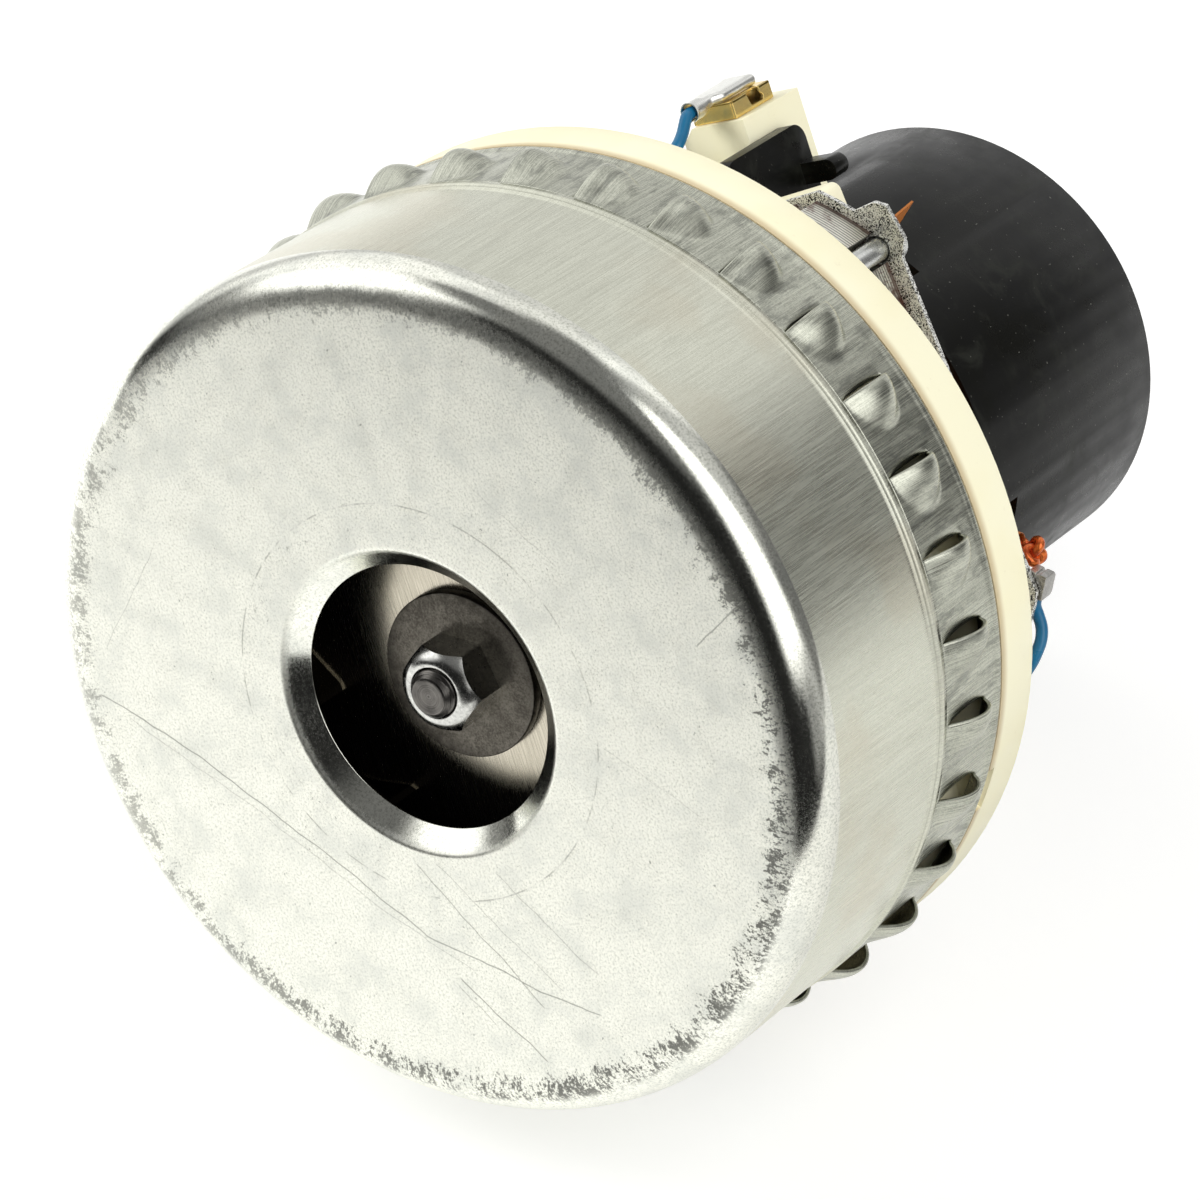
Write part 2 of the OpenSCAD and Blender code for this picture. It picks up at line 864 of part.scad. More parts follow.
module brush_bracket() {
    color("cornsilk")
        difference() {
            union() {
                pair() {
                    rotate([0, 0, pole_angle - 90])
                        translate([0, 0, plate_z]) linear_extrude(height = base_top - plate_z) base_outline();
                    // pedestal and tower
                    block([base_in + 0.5, tower_x - 10], [-tower_w / 2, tower_w / 2],
                        [base_top - 1, tower_z0 + 1]);
                    translate([0, 0, tower_z0]) linear_extrude(height = tower_h) tower_outline();
                    // spokes to the bearing cup
                    block([cup_r - 1, ring_r1 - 1], [-4, 4], [tower_z1 - 1, up_z + 1]);
                }
                difference() {
                    disc(ring_r1, tower_z0 + 3, up_z + 1);
                    disc(ring_r0, tower_z0 + 2, up_z + 2);
                }
                for (a = [pole_angle, pole_angle + 180])
                    rotate([0, 0, a]) block([cup_r - 1, ring_r1 - 1], [-4, 4], [tower_z1 + 0.6, up_z + 1]);
                disc(cup_r, tower_z1 + 0.6, up_z + up_w + 1);
            }
            // brush tube slots
            block([-tower_x - 5, tower_x + 5], [-tube_w / 2 - fit, tube_w / 2 + fit],
                [brush_z - tube_h / 2 - fit, brush_z + tube_h / 2 + fit]);
            // room for the commutator
            disc(comm_r + 2.6, tower_z0 - 5, tower_z1 + 0.6);
            disc(mid_r + 1, tower_z0, up_z + 1);
            disc(up_od / 2 + fit, up_z, up_z + up_w + 2);
            pair()
                rotate([0, 0, tie_a])
                    translate([tie_r, 0, plate_z - past]) cylinder(d = bolt_d + 0.4, h = 20);
        }
}

// Brushes

module brush_tube() {
    difference() {
        block([tower_x0 + 0.5, tube_end], [-tube_w / 2, tube_w / 2],
            [brush_z - tube_h / 2, brush_z + tube_h / 2]);
        block([tower_x0 - 1, tube_end + 1], [-tube_w / 2 + tube_t, tube_w / 2 - tube_t],
            [brush_z - tube_h / 2 + tube_t, brush_z + tube_h / 2 - tube_t]);
    }
}

module brush_tube_a() {
    color("gold") brush_tube();
}

module brush_tube_b() {
    color("gold") rotate([0, 0, 180]) brush_tube();
}

module brush() {
    difference() {
        block([comm_r - 1, comm_r + brush_l], [-brush_w / 2, brush_w / 2],
            [brush_z - brush_h / 2, brush_z + brush_h / 2]);
        disc(comm_r + run, brush_z - brush_h, brush_z + brush_h);
    }
}

module brush_a() {
    color("dimgray") brush();
}

module brush_b() {
    color("dimgray") rotate([0, 0, 180]) brush();
}

// Coil spring along X between the brush and the end clip, one tube of six sides
spring_turns = 7;
spring_r = 2.2;
spring_wire = 0.3;
spring_x0 = comm_r + brush_l + 0.05;
spring_x1 = tube_end - 0.05;
spring_steps = 8 * spring_turns;

function spring_ring(i) =
    let (
        u = i / spring_steps,
        a = 360 * spring_turns * u,
        x = spring_x0 + spring_wire + (spring_x1 - spring_x0 - 2 * spring_wire) * u
    )
    [for (k = [0:5])
        let (
            b = 60 * k,
            r = spring_r + spring_wire * cos(b)
        )
        [x + spring_wire * sin(b), r * cos(a), brush_z + r * sin(a)]];

// Skin of a tube whose rings each have the same number of sides
function tube_skin(rings, sides) = concat(
    [for (i = [0:rings - 2]) for (k = [0:sides - 1])
        each [
            [i * sides + k, i * sides + (k + 1) % sides, (i + 1) * sides + k],
            [i * sides + (k + 1) % sides, (i + 1) * sides + (k + 1) % sides, (i + 1) * sides + k]
        ]],
    [for (k = [1:sides - 2]) [0, k + 1, k]],
    [for (k = [1:sides - 2]) [(rings - 1) * sides, (rings - 1) * sides + k, (rings - 1) * sides + k + 1]]
);

// Least distance between the spring's own turns, less the wire, measured on points a turn apart
spring_axis = [for (i = [0:spring_steps])
    let (a = 360 * spring_turns * i / spring_steps)
    [spring_x0 + (spring_x1 - spring_x0) * i / spring_steps, spring_r * cos(a), spring_r * sin(a)]];
spring_gap = min([for (i = [0:spring_steps - 6]) for (j = [i + 6:spring_steps])
    norm(spring_axis[j] - spring_axis[i])]) - 2 * spring_wire;
echo(brush_spring_least_gap_mm = spring_gap);

module brush_spring() {
    points = [for (i = [0:spring_steps]) each spring_ring(i)];
    polyhedron(points = points, faces = tube_skin(spring_steps + 1, 6));
}

module brush_spring_a() {
    color("silver") brush_spring();
}

module brush_spring_b() {
    color("silver") rotate([0, 0, 180]) brush_spring();
}

// Brass end clip over the tube, with the tab that the receptacle grips
module brush_clip() {
    ear = tube_w / 2 + fit;
    mid = ear + clip_t / 2;
    block([tube_end, tube_end + clip_t], [-ear - clip_t, ear + clip_t],
        [brush_z - tube_h / 2, brush_z + tube_h / 2]);
    for (side = [-1, 1])
        for (end = [-1, 1])
            block([tower_x, tube_end + clip_t], [side * mid - clip_t / 2, side * mid + clip_t / 2],
                [brush_z + end * tube_h / 4 - 2.2, brush_z + end * tube_h / 4 + 2.2]);
    block([tube_end + clip_t, tab_x + clip_t], [-2.8, 2.8],
        [brush_z + tube_h / 2 - 0.8, brush_z + tube_h / 2]);
    block([tab_x, tab_x + clip_t], [-2.8, 2.8], [brush_z - 4, brush_z + tube_h / 2]);
}

module brush_clip_a() {
    color("gold") brush_clip();
}

module brush_clip_b() {
    color("gold") rotate([0, 0, 180]) brush_clip();
}

// Tinned receptacle on the tab, with its crimp round the lead
module receptacle() {
    crimp_z0 = plate_z + lead_route[len(lead_route) - 1][2] - 2;
    crimp_z1 = brush_z - tube_h / 2 - 0.6;
    difference() {
        block([tab_x - grip_t, tab_x + clip_t + grip_t], [-3.4, 3.4], [brush_z - 5.6, brush_z + 3.2]);
        block([tab_x - fit, tab_x + clip_t + fit], [-2.8 - fit, 2.8 + fit], [brush_z - 4 - fit, brush_z + 5]);
    }
    // neck and the barrel of the crimp, which stay clear of the tube's end clip
    block([tab_x - grip_t, tab_x + clip_t + grip_t], [-1.6, 1.6], [crimp_z1 - 0.8, brush_z - 5]);
    difference() {
        translate([crimp_x, 0, crimp_z0]) cylinder(d = lead_d + 1.4, h = crimp_z1 - crimp_z0);
        translate([crimp_x, 0, crimp_z0 - past]) cylinder(d = lead_d + 2 * fit, h = 2 + past + fit);
    }
}

module receptacle_a() {
    color("lightsteelblue") receptacle();
}

module receptacle_b() {
    color("lightsteelblue") rotate([0, 0, 180]) receptacle();
}

// Insulated leads: one tube of eight sides along the route

function place(p) = [(stack_r + p[0]) * cos(p[1]), (stack_r + p[0]) * sin(p[1]), plate_z + p[2]];
function unit(v) = v / norm(v);
lead_points = [for (p = lead_route) place(p)];
function lead_dir(i) =
    i == 0 ? [-sin(lead_route[0][1]), cos(lead_route[0][1]), 0]
    : i == len(lead_points) - 1 ? [0, 0, 1]
    : unit(lead_points[i + 1] - lead_points[i - 1]);
function lead_ring(i) =
    let (
        d = lead_dir(i),
        side = unit(cross(d, unit([lead_points[i][0], lead_points[i][1], 0]))),
        up = cross(side, d)
    )
    [for (k = [0:7]) lead_points[i] + lead_d / 2 * (cos(45 * k) * side + sin(45 * k) * up)];

module jumper_lead() {
    rings = [for (i = [0:len(lead_points) - 1]) lead_ring(i)];
    polyhedron(points = [for (ring = rings) each ring], faces = tube_skin(len(rings), 8));
}

module jumper_lead_a() {
    color("steelblue") jumper_lead();
}

module jumper_lead_b() {
    color("steelblue") rotate([0, 0, 180]) jumper_lead();
}

// Hood over the commutator and the cooling fan

module hood_arm() {
    // side cheek beside a brush tower, with rounded corners and a round-ended catch
    root_x = hood_r - 1.6;
    lip_x0 = base_x1 + 1.6;
    translate([0, arm_y + arm_t, 0])
        rotate([90, 0, 0])
            linear_extrude(height = arm_t)
                union() {
                    translate([root_x, base_top + 0.3])
                        square([arm_x - arm_corner - root_x, arm_z1 - base_top - 0.3]);
                    translate([lip_x0, arm_z0]) square([arm_x - arm_corner - lip_x0, base_top - arm_z0 + 1]);
                    translate([arm_x - arm_corner - past, arm_z0 + arm_corner])
                        square([arm_corner + past, arm_z1 - arm_z0 - 2 * arm_corner]);
                    for (z = [arm_z0 + arm_corner, arm_z1 - arm_corner])
                        translate([arm_x - arm_corner, z]) circle(r = arm_corner);
                }
    block([catch_x, catch_x + catch_w], [arm_y + arm_t - 1, arm_y + arm_t + 4.9], [arm_z1 - 4, arm_z1]);
    translate([catch_x + catch_w / 2, arm_y + arm_t + 4.9, arm_z1 - 4]) cylinder(d = catch_w, h = 4);
}

module hood() {
    color("dimgray")
        difference() {
            union() {
                difference() {
                    disc(hood_r, tongue_z, hood_z);
                    disc(hood_r - hood_t, tongue_z - past, hood_z - 2);
                    // skirt is cut back between the two tongues
                    for (side = [0, 180])
                        rotate([0, 0, side + tongue_mid - 90])
                            translate([0, 0, tongue_z - past])
                                linear_extrude(height = skirt_z - tongue_z + past)
                                    union() {
                                        slice(hood_r, -90 + tongue_a, 0);
                                        slice(hood_r, 0, 90 - tongue_a);
                                    }
                }
                pair() {
                    hood_arm();
                    mirror([0, 1, 0]) hood_arm();
                }
            }
            // room for the towers
            pair()
                block([hood_r - 6, tower_x], [-arm_y, arm_y], [base_top - 1, tower_z1 + 0.6]);
            disc(hood_r - hood_t, base_top - 1, arm_z1 + 1);
            // air slots in the end
            for (ring = [[8, 18, 12], [21, 33, 24]])
                for (k = [0:ring[2] - 1])
                    rotate([0, 0, k * 360 / ring[2]])
                        block([ring[0], ring[1]], [-1.4, 1.4], [hood_z - 3, hood_z + 1]);
        }
}

fan_can();
fan_stage_one();
fan_stage_two();
return_guide();
eye_plate();
shaft_nut();
clamp_washers();
fan_spacer();
bearing_collar();
shaft();
motor_bracket();
lower_bearing_outer();
lower_bearing_inner();
lower_bearing_balls();
upper_bearing_outer();
upper_bearing_inner();
upper_bearing_balls();
armature_core();
armature_winding();
commutator_bars();
commutator_hub();
cooling_fan();
stator_core();
clamp_plate();
field_coil_a();
field_coil_b();
slot_papers();
lead_out_a();
lead_out_b();
paper_tip_a();
paper_tip_b();
lead_splice_a();
lead_splice_b();
stack_bolts();
tie_bolts();
brush_bracket();
brush_tube_a();
brush_tube_b();
brush_a();
brush_b();
brush_spring_a();
brush_spring_b();
brush_clip_a();
brush_clip_b();
receptacle_a();
receptacle_b();
jumper_lead_a();
jumper_lead_b();
hood();
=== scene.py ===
# Looks of the vacuum motor unit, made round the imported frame. Lengths are written in millimetres and
# turned into metres when a mesh is made.
# Frame: z = 0 is the outside of the inlet face, +Z runs to the hood, +X runs through brush tower A.

import math

import bpy
from mathutils import Matrix, Vector


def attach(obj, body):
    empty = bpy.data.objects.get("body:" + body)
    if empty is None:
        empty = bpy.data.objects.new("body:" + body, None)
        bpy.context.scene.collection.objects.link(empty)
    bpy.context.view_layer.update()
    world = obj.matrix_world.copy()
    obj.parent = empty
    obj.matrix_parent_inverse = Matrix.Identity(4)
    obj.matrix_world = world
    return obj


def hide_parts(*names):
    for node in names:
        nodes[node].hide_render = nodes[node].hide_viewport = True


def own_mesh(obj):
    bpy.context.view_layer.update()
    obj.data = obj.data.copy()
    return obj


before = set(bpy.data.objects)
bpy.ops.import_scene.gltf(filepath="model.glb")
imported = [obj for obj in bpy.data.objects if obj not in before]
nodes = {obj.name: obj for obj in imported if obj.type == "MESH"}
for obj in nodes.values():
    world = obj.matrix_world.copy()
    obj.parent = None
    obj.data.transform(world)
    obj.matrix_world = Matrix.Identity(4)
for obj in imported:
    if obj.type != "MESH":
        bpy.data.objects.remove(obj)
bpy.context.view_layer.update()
scene = bpy.context.scene
MM = 0.001

# Sizes shared by several pieces
CAN_R = 72.0
SHEET = 0.8
CORNER_R = 7.0
JOGGLE = 0.4
BAND_R = CAN_R + JOGGLE
BAND_Z0 = 38.2
CAN_H = 55.0
THROAT_R = 22.15
LIP_START = 26.2
LIP_R = 1.2
LIP_TILT = 40
THROAT_H = 3.05
SCOOP_N = 33
SCOOP_STEP = 2 * math.pi / SCOOP_N
SCOOP_PHASE = math.radians(2.4)
SCOOP_Z = 44.4
SCOOP_HALF = 5.8
SCOOP_RISE = 3.1
SCOOP_RUN = 7.6
STACK_R = 53.0
PLATE_Z = 101.0
COIL_R = 36.4
BRUSH_Z = 125.3
TUBE_HALF_W = 3.75
TUBE_HALF_H = 5.45
TUBE_X0 = 17.0
TUBE_END = 58.5
TOWER_X = 56.0
CRIMP_X = 59.7
LEAD_R = 1.05
SPRING_R = 2.2
SPRING_WIRE = 0.28
SPRING_X0 = 37.6
SPRING_FIXED = 56.7


# Camera, solved from the outlines of the can, the flange and the hood: its place in metres, and its
# right and upward directions

CAMERA_PLACE = (0.2253, 0.5942, -0.6777)
CAMERA_RIGHT = (-0.3052, 0.7824, 0.5428)
CAMERA_UPWARD = (0.9226, 0.1018, 0.3721)
CAMERA_LENS = 180


def placed(place, right, up, back):
    """World matrix of a camera or lamp at a place in metres, looking away from back."""
    turn = Matrix((right, up, back)).transposed().to_4x4()
    return Matrix.Translation(Vector(place)) @ turn


def set_camera():
    data = bpy.data.cameras.new("camera")
    data.lens = CAMERA_LENS
    data.sensor_width = 36
    data.clip_start = 0.01
    data.clip_end = 20
    camera = bpy.data.objects.new("camera", data)
    right = Vector(CAMERA_RIGHT).normalized()
    back = right.cross(Vector(CAMERA_UPWARD)).normalized()
    up = back.cross(right)
    camera.matrix_world = placed(CAMERA_PLACE, right, up, back)
    scene.collection.objects.link(camera)
    scene.camera = camera
    return right, up, back


# The camera looks down on the floor at PITCH. FLOOR_UP is the floor's normal, and FRONT runs along the
# floor towards the camera.
RIGHT, UP, BACK = set_camera()
PITCH = math.radians(42)
FLOOR_UP = UP * math.cos(PITCH) + BACK * math.sin(PITCH)
FRONT = BACK * math.cos(PITCH) - UP * math.sin(PITCH)
MIDDLE = Vector((0.0, 0.0, 0.06))


def studio_direction(azimuth, elevation):
    """Direction from the object; azimuth is 0 towards the camera and 90 to its right."""
    a = math.radians(azimuth)
    e = math.radians(elevation)
    flat = FRONT * math.cos(a) + RIGHT * math.sin(a)
    return flat * math.cos(e) + FLOOR_UP * math.sin(e)


# Node helper

class Build:
    """Adds nodes to one tree. A socket given as an input is linked, and a plain value is set."""

    def __init__(self, tree):
        self.tree = tree

    def add(self, kind, inputs=(), **settings):
        made = self.tree.nodes.new(kind)
        for key, value in settings.items():
            setattr(made, key, value)
        for key, value in dict(inputs).items():
            self.feed(made.inputs[key], value)
        return made

    def feed(self, socket, value):
        if isinstance(value, bpy.types.NodeSocket):
            self.tree.links.new(value, socket)
        elif isinstance(value, tuple) and len(value) == 3 and socket.type == "RGBA":
            socket.default_value = (*value, 1)
        else:
            socket.default_value = value

    def math(self, operation, a, b=0.0):
        return self.add("ShaderNodeMath", {0: a, 1: b}, operation=operation).outputs[0]

    def fold(self, operation, values):
        out = values[0]
        for value in values[1:]:
            out = self.math(operation, out, value)
        return out

    def mul(self, *values):
        return self.fold("MULTIPLY", values)

    def plus(self, *values):
        return self.fold("ADD", values)

    def most(self, *values):
        return self.fold("MAXIMUM", values)

    def step(self, value, low, high, out_low=0.0, out_high=1.0):
        made = self.add(
            "ShaderNodeMapRange",
            {"Value": value, "From Min": low, "From Max": high, "To Min": out_low, "To Max": out_high},
            interpolation_type="SMOOTHSTEP",
        )
        return made.outputs["Result"]

    def window(self, value, low, high, soft):
        """1 between low and high, falling to 0 over soft outside them."""
        rise = self.step(value, low - soft, low)
        fall = self.step(value, high, high + soft, 1.0, 0.0)
        return self.mul(rise, fall)

    def mix(self, factor, a, b):
        made = self.add("ShaderNodeMix", data_type="RGBA")
        self.feed(made.inputs[0], factor)
        self.feed(made.inputs[6], a)
        self.feed(made.inputs[7], b)
        return made.outputs[2]

    def dot(self, vector, direction):
        made = self.add("ShaderNodeVectorMath", {0: vector, 1: tuple(direction)}, operation="DOT_PRODUCT")
        return made.outputs["Value"]

    def combine(self, x, y, z):
        return self.add("ShaderNodeCombineXYZ", {"X": x, "Y": y, "Z": z}).outputs[0]

    def noise(self, vector, scale, detail=3.0, rough=0.55, warp=0.0):
        made = self.add(
            "ShaderNodeTexNoise",
            {"Vector": vector, "Scale": scale, "Detail": detail, "Roughness": rough, "Distortion": warp},
        )
        return made.outputs["Fac"]


class Look(Build):
    """A material round one Principled shader, with its own coordinates in millimetres."""

    def __init__(self, name, color, metallic=0.0, rough=0.5):
        self.material = bpy.data.materials.new(name)
        self.material.use_nodes = True
        super().__init__(self.material.node_tree)
        self.shader = self.tree.nodes["Principled BSDF"]
        self.material.diffuse_color = (*color, 1)
        self.set("Base Color", color)
        self.set("Metallic", metallic)
        self.set("Roughness", rough)
        coord = self.add("ShaderNodeTexCoord").outputs["Object"]
        scaled = self.add("ShaderNodeVectorMath", {0: coord, "Scale": 1 / MM}, operation="SCALE")
        self.place = scaled.outputs[0]
        split = self.add("ShaderNodeSeparateXYZ", {0: self.place})
        self.x, self.y, self.z = split.outputs

    def set(self, key, value):
        self.feed(self.shader.inputs[key], value)

    def radius(self):
        return self.math("SQRT", self.plus(self.math("POWER", self.x, 2.0), self.math("POWER", self.y, 2.0)))

    def angle(self):
        return self.math("ARCTAN2", self.y, self.x)

    def facing(self, degrees):
        """Cosine of the angle round the shaft from a direction."""
        return self.math("COSINE", self.math("SUBTRACT", self.angle(), math.radians(degrees)))

    def round_place(self, around, third):
        """Coordinates that run round the shaft at the scale around, with a third one of the caller's."""
        turn = self.angle()
        return self.combine(
            self.mul(self.math("COSINE", turn), around),
            self.mul(self.math("SINE", turn), around),
            third,
        )

    def line(self, place, start, end, width):
        """Mask of a thin straight line on the face, from one point (x, y) to another."""
        way = Vector((end[0] - start[0], end[1] - start[1], 0.0))
        along = way.normalized()
        origin = (*start, 0.0)
        moved = self.add("ShaderNodeVectorMath", {0: place, 1: origin}, operation="SUBTRACT").outputs[0]
        run = self.dot(moved, along)
        off = self.math("ABSOLUTE", self.dot(moved, (-along.y, along.x, 0.0)))
        inside = self.window(run, 0.0, way.length, 0.6)
        return self.mul(self.step(off, width / 2, width, 1.0, 0.0), inside)

    def bump(self, height, strength, distance):
        made = self.add("ShaderNodeBump", {"Height": height, "Strength": strength, "Distance": distance * MM})
        self.set("Normal", made.outputs[0])


# Studio

# Soft glows that polished metal mirrors: the range of azimuth and of elevation in degrees, each with the
# width of its soft rim, and the strength
GLOWS = [
    # soft boxes that stand in front of the key lamp and the right lamp
    ((-116, -90, 24), (20, 44, 12), 1.4),
    ((28, 64, 18), (20, 70, 12), 1.6),
    # pale wall behind the part, brighter at its left
    ((136, 181, 16), (-30, 64, 14), 0.66),
    ((-181, -136, 16), (-30, 64, 14), 0.66),
    ((-166, -140, 8), (10, 50, 8), 0.35),
    # haze round the key lamp
    ((-138, -98, 12), (4, 38, 8), 0.20),
    # soft foot of the right lamp
    ((46, 74, 14), (-4, 10, 8), 0.26),
    # dim wall at the right, lighter upwards
    ((70, 126, 14), (-14, 48, 12), 0.15),
    ((72, 140, 16), (38, 70, 16), 0.34),
]
# Ceiling over an unlit room: the elevations where it starts and where it is full, and both levels
CEILING_FROM = 40
CEILING_FULL = 58
ROOM_LEVEL = 0.016
CEILING_LEVEL = 0.17

# Corners of the floor in metres, to the right and to the front, and its gap under the part
FLOOR_CORNERS = [(-0.55, 0.28), (1.2, 0.28), (1.2, -1.2), (-0.55, -1.2)]
FLOOR_GAP = 0.0001


def build_world():
    world = bpy.data.worlds.new("studio")
    scene.world = world
    world.use_nodes = True
    world.node_tree.nodes.clear()
    b = Build(world.node_tree)
    way = b.add("ShaderNodeTexCoord").outputs["Generated"]
    azimuth = b.mul(b.math("ARCTAN2", b.dot(way, RIGHT), b.dot(way, FRONT)), 180 / math.pi)
    elevation = b.mul(b.math("ARCSINE", b.dot(way, FLOOR_UP)), 180 / math.pi)
    level = b.step(elevation, CEILING_FROM, CEILING_FULL, ROOM_LEVEL, CEILING_LEVEL)
    for across, upward, strength in GLOWS:
        level = b.plus(level, b.mul(b.window(azimuth, *across), b.window(elevation, *upward), strength))
    paths = b.add("ShaderNodeLightPath").outputs
    clear = b.most(paths["Is Camera Ray"], paths["Is Transmission Ray"])
    lit = b.add("ShaderNodeBackground", {"Color": (1.0, 1.0, 1.0), "Strength": level})
    plain = b.add("ShaderNodeBackground", {"Color": (1.0, 1.0, 1.0), "Strength": 1.0})
    both = b.add("ShaderNodeMixShader", {0: clear, 1: lit.outputs[0], 2: plain.outputs[0]})
    b.add("ShaderNodeOutputWorld", {"Surface": both.outputs[0]})


def add_lamp(name, azimuth, elevation, distance, width, height, watts):
    """Area lamp that faces the part; metal mirrors the world's glows in its stead."""
    data = bpy.data.lights.new(name, "AREA")
    data.shape = "RECTANGLE"
    data.size = width
    data.size_y = height
    data.energy = watts
    lamp = bpy.data.objects.new(name, data)
    back = studio_direction(azimuth, elevation)
    right = FLOOR_UP.cross(back).normalized()
    lamp.matrix_world = placed(MIDDLE + back * distance, right, back.cross(right), back)
    lamp.visible_glossy = False
    scene.collection.objects.link(lamp)


def build_floor():
    low = min(FLOOR_UP.dot(vertex.co) for piece in nodes.values() for vertex in piece.data.vertices)
    middle = FLOOR_UP * (low - FLOOR_GAP)
    corners = [tuple(middle + RIGHT * x + FRONT * y) for x, y in FLOOR_CORNERS]
    mesh = bpy.data.meshes.new("floor")
    mesh.from_pydata(corners, [], [(0, 1, 2, 3)])
    floor = bpy.data.objects.new("floor", mesh)
    scene.collection.objects.link(floor)
    material = bpy.data.materials.new("floor_white")
    material.use_nodes = True
    material.node_tree.nodes.clear()
    b = Build(material.node_tree)
    paths = b.add("ShaderNodeLightPath").outputs
    clear = b.most(paths["Is Camera Ray"], paths["Is Transmission Ray"])
    # painted light: glossy rays see the floor glow brighter at its left and dimmer at its right, standing for
    # the key lamp's light on the left and the part's shadow on the right
    side = b.dot(b.add("ShaderNodeNewGeometry").outputs["Position"], RIGHT)
    reflected_painted_light = b.mul(paths["Is Glossy Ray"], b.step(side, -0.05, 0.22, 0.98, 0.32))
    paper = b.add("ShaderNodeBsdfDiffuse", {"Color": (0.62, 0.62, 0.615)})
    strength = b.mul(b.most(clear, reflected_painted_light), 0.5)
    glow = b.add("ShaderNodeEmission", {"Color": (1.0, 1.0, 0.995), "Strength": strength})
    white = b.add("ShaderNodeAddShader", {0: paper.outputs[0], 1: glow.outputs[0]})
    through = b.add("ShaderNodeBsdfTransparent")
    below = b.add("ShaderNodeNewGeometry").outputs["Backfacing"]
    one_sided = b.add("ShaderNodeMixShader", {0: below, 1: white.outputs[0], 2: through.outputs[0]})
    b.add("ShaderNodeOutputMaterial", {"Surface": one_sided.outputs[0]})
    mesh.materials.append(material)


scene.view_settings.view_transform = "Standard"
build_world()
build_floor()
add_lamp("key_lamp", azimuth=-97, elevation=32, distance=0.85, width=0.54, height=0.34, watts=3.8)
add_lamp("right_lamp", azimuth=46, elevation=44, distance=0.85, width=0.60, height=0.86, watts=3.4)


# Materials

def zinc_grain(look, scuffs):
    """Colour of bare zinc plate with its fine grain; scuffs is a mask of dark marks."""
    fine = look.noise(look.place, 2.4, 4.0, 0.75)
    cloud = look.noise(look.place, 0.12, 5.0, 0.62)
    pale = look.mix(look.step(fine, 0.27, 0.58), (0.53, 0.545, 0.465), (1.0, 1.0, 0.90))
    soft = look.mix(look.mul(look.step(cloud, 0.42, 0.68), 0.45), pale, (0.64, 0.66, 0.61))
    return look.mix(scuffs, soft, (0.11, 0.11, 0.10)), fine


# Long fine scratches on the face: width in millimetres, darkness, and points (x, y)
SCRATCHES = [
    (0.16, 0.55, [(8.8, -62.2), (-3.2, -46.8), (-22.3, -27.3), (-37.4, -12.7), (-48.1, 5.3), (-53.1, 15.4)]),
    (0.10, 0.35, [(4.0, -58.0), (-14.0, -38.0), (-30.0, -22.5), (-44.0, -6.0)]),
    (0.14, 0.50, [(-25.5, -9.9), (-50.7, 5.3)]),
    (0.10, 0.40, [(-25.8, -6.0), (-48.5, 10.2)]),
    (0.12, 0.40, [(-28.4, 5.1), (-46.4, 18.0)]),
    (0.14, 0.60, [(-45.4, -8.8), (-51.8, -4.2), (-60.0, 2.6)]),
    (0.10, 0.45, [(-46.6, -9.6), (-53.4, -5.0)]),
    (0.16, 0.50, [(4.9, 57.0), (10.5, 67.5)]),
    (0.10, 0.30, [(31.5, -41.3), (17.0, -57.5)]),
    (0.09, 0.25, [(20.0, 36.0), (38.0, 22.0)]),
    (0.09, 0.30, [(-10.0, 34.0), (-22.0, 47.0)]),
]


def edge_wear(look, speck, patch):
    """Bite marks just inside the rolled corner, heaviest on the side away from tower A."""
    r = look.radius()
    bites = look.noise(look.round_place(95.0, look.mul(r, 0.7)), 1.0, 3.0, 0.7)
    outward = look.step(r, 61.4, 65.6)
    grain = look.plus(look.mul(speck, 0.5), look.mul(bites, 0.5))
    wear = look.plus(grain, look.mul(patch, 0.4), look.mul(outward, 0.15))
    heavy = look.step(look.facing(147), -0.6, 0.9, 0.50, 0.92)
    return look.mul(look.step(r, 59.6, 62.0), heavy, look.step(wear, 0.845, 0.88))


def inlet_marks(look, speck, patch):
    """Tool marks in a ring round the inlet, and a thin broken line outside them."""
    r = look.radius()
    ticks = look.noise(look.round_place(26.0, look.mul(r, 0.9)), 1.0, 3.0, 0.7)
    cuts = look.step(look.plus(look.mul(ticks, 0.7), look.mul(speck, 0.4)), 0.62, 0.76)
    heavy = look.step(look.facing(-75), -0.7, 0.8, 0.15, 0.75)
    ring = look.mul(look.window(r, 28.4, 31.6, 2.0), cuts, heavy)
    line = look.mul(look.window(r, 33.3, 33.4, 0.14), look.step(patch, 0.42, 0.58), 0.45)
    return look.most(ring, line)


def fine_marks(look, patch):
    """Single dark specks and curled hairlines."""
    specks = look.step(look.noise(look.place, 1.3, 2.0, 0.5), 0.70, 0.73)
    flat_place = look.combine(look.mul(look.x, 0.9), look.mul(look.y, 0.9), 0.0)
    hairs = look.window(look.noise(flat_place, 1.0, 5.0, 0.8, 2.5), 0.497, 0.503, 0.006)
    return look.most(
        look.mul(specks, look.step(patch, 0.42, 0.6), 0.7),
        look.mul(hairs, look.step(patch, 0.48, 0.64), 0.4),
    )


def long_scratches(look):
    """The scratches, each bent a little by slow noise."""
    sway = look.add("ShaderNodeTexNoise", {"Vector": look.place, "Scale": 0.12}).outputs["Color"]
    shift = look.add("ShaderNodeVectorMath", {0: sway, "Scale": 1.6}, operation="SCALE").outputs[0]
    bent = look.add("ShaderNodeVectorMath", {0: look.place, 1: shift}, operation="ADD").outputs[0]
    lines = []
    for width, dark, points in SCRATCHES:
        for start, end in zip(points, points[1:]):
            lines.append(look.mul(look.line(bent, start, end, width), dark))
    return look.most(*lines)


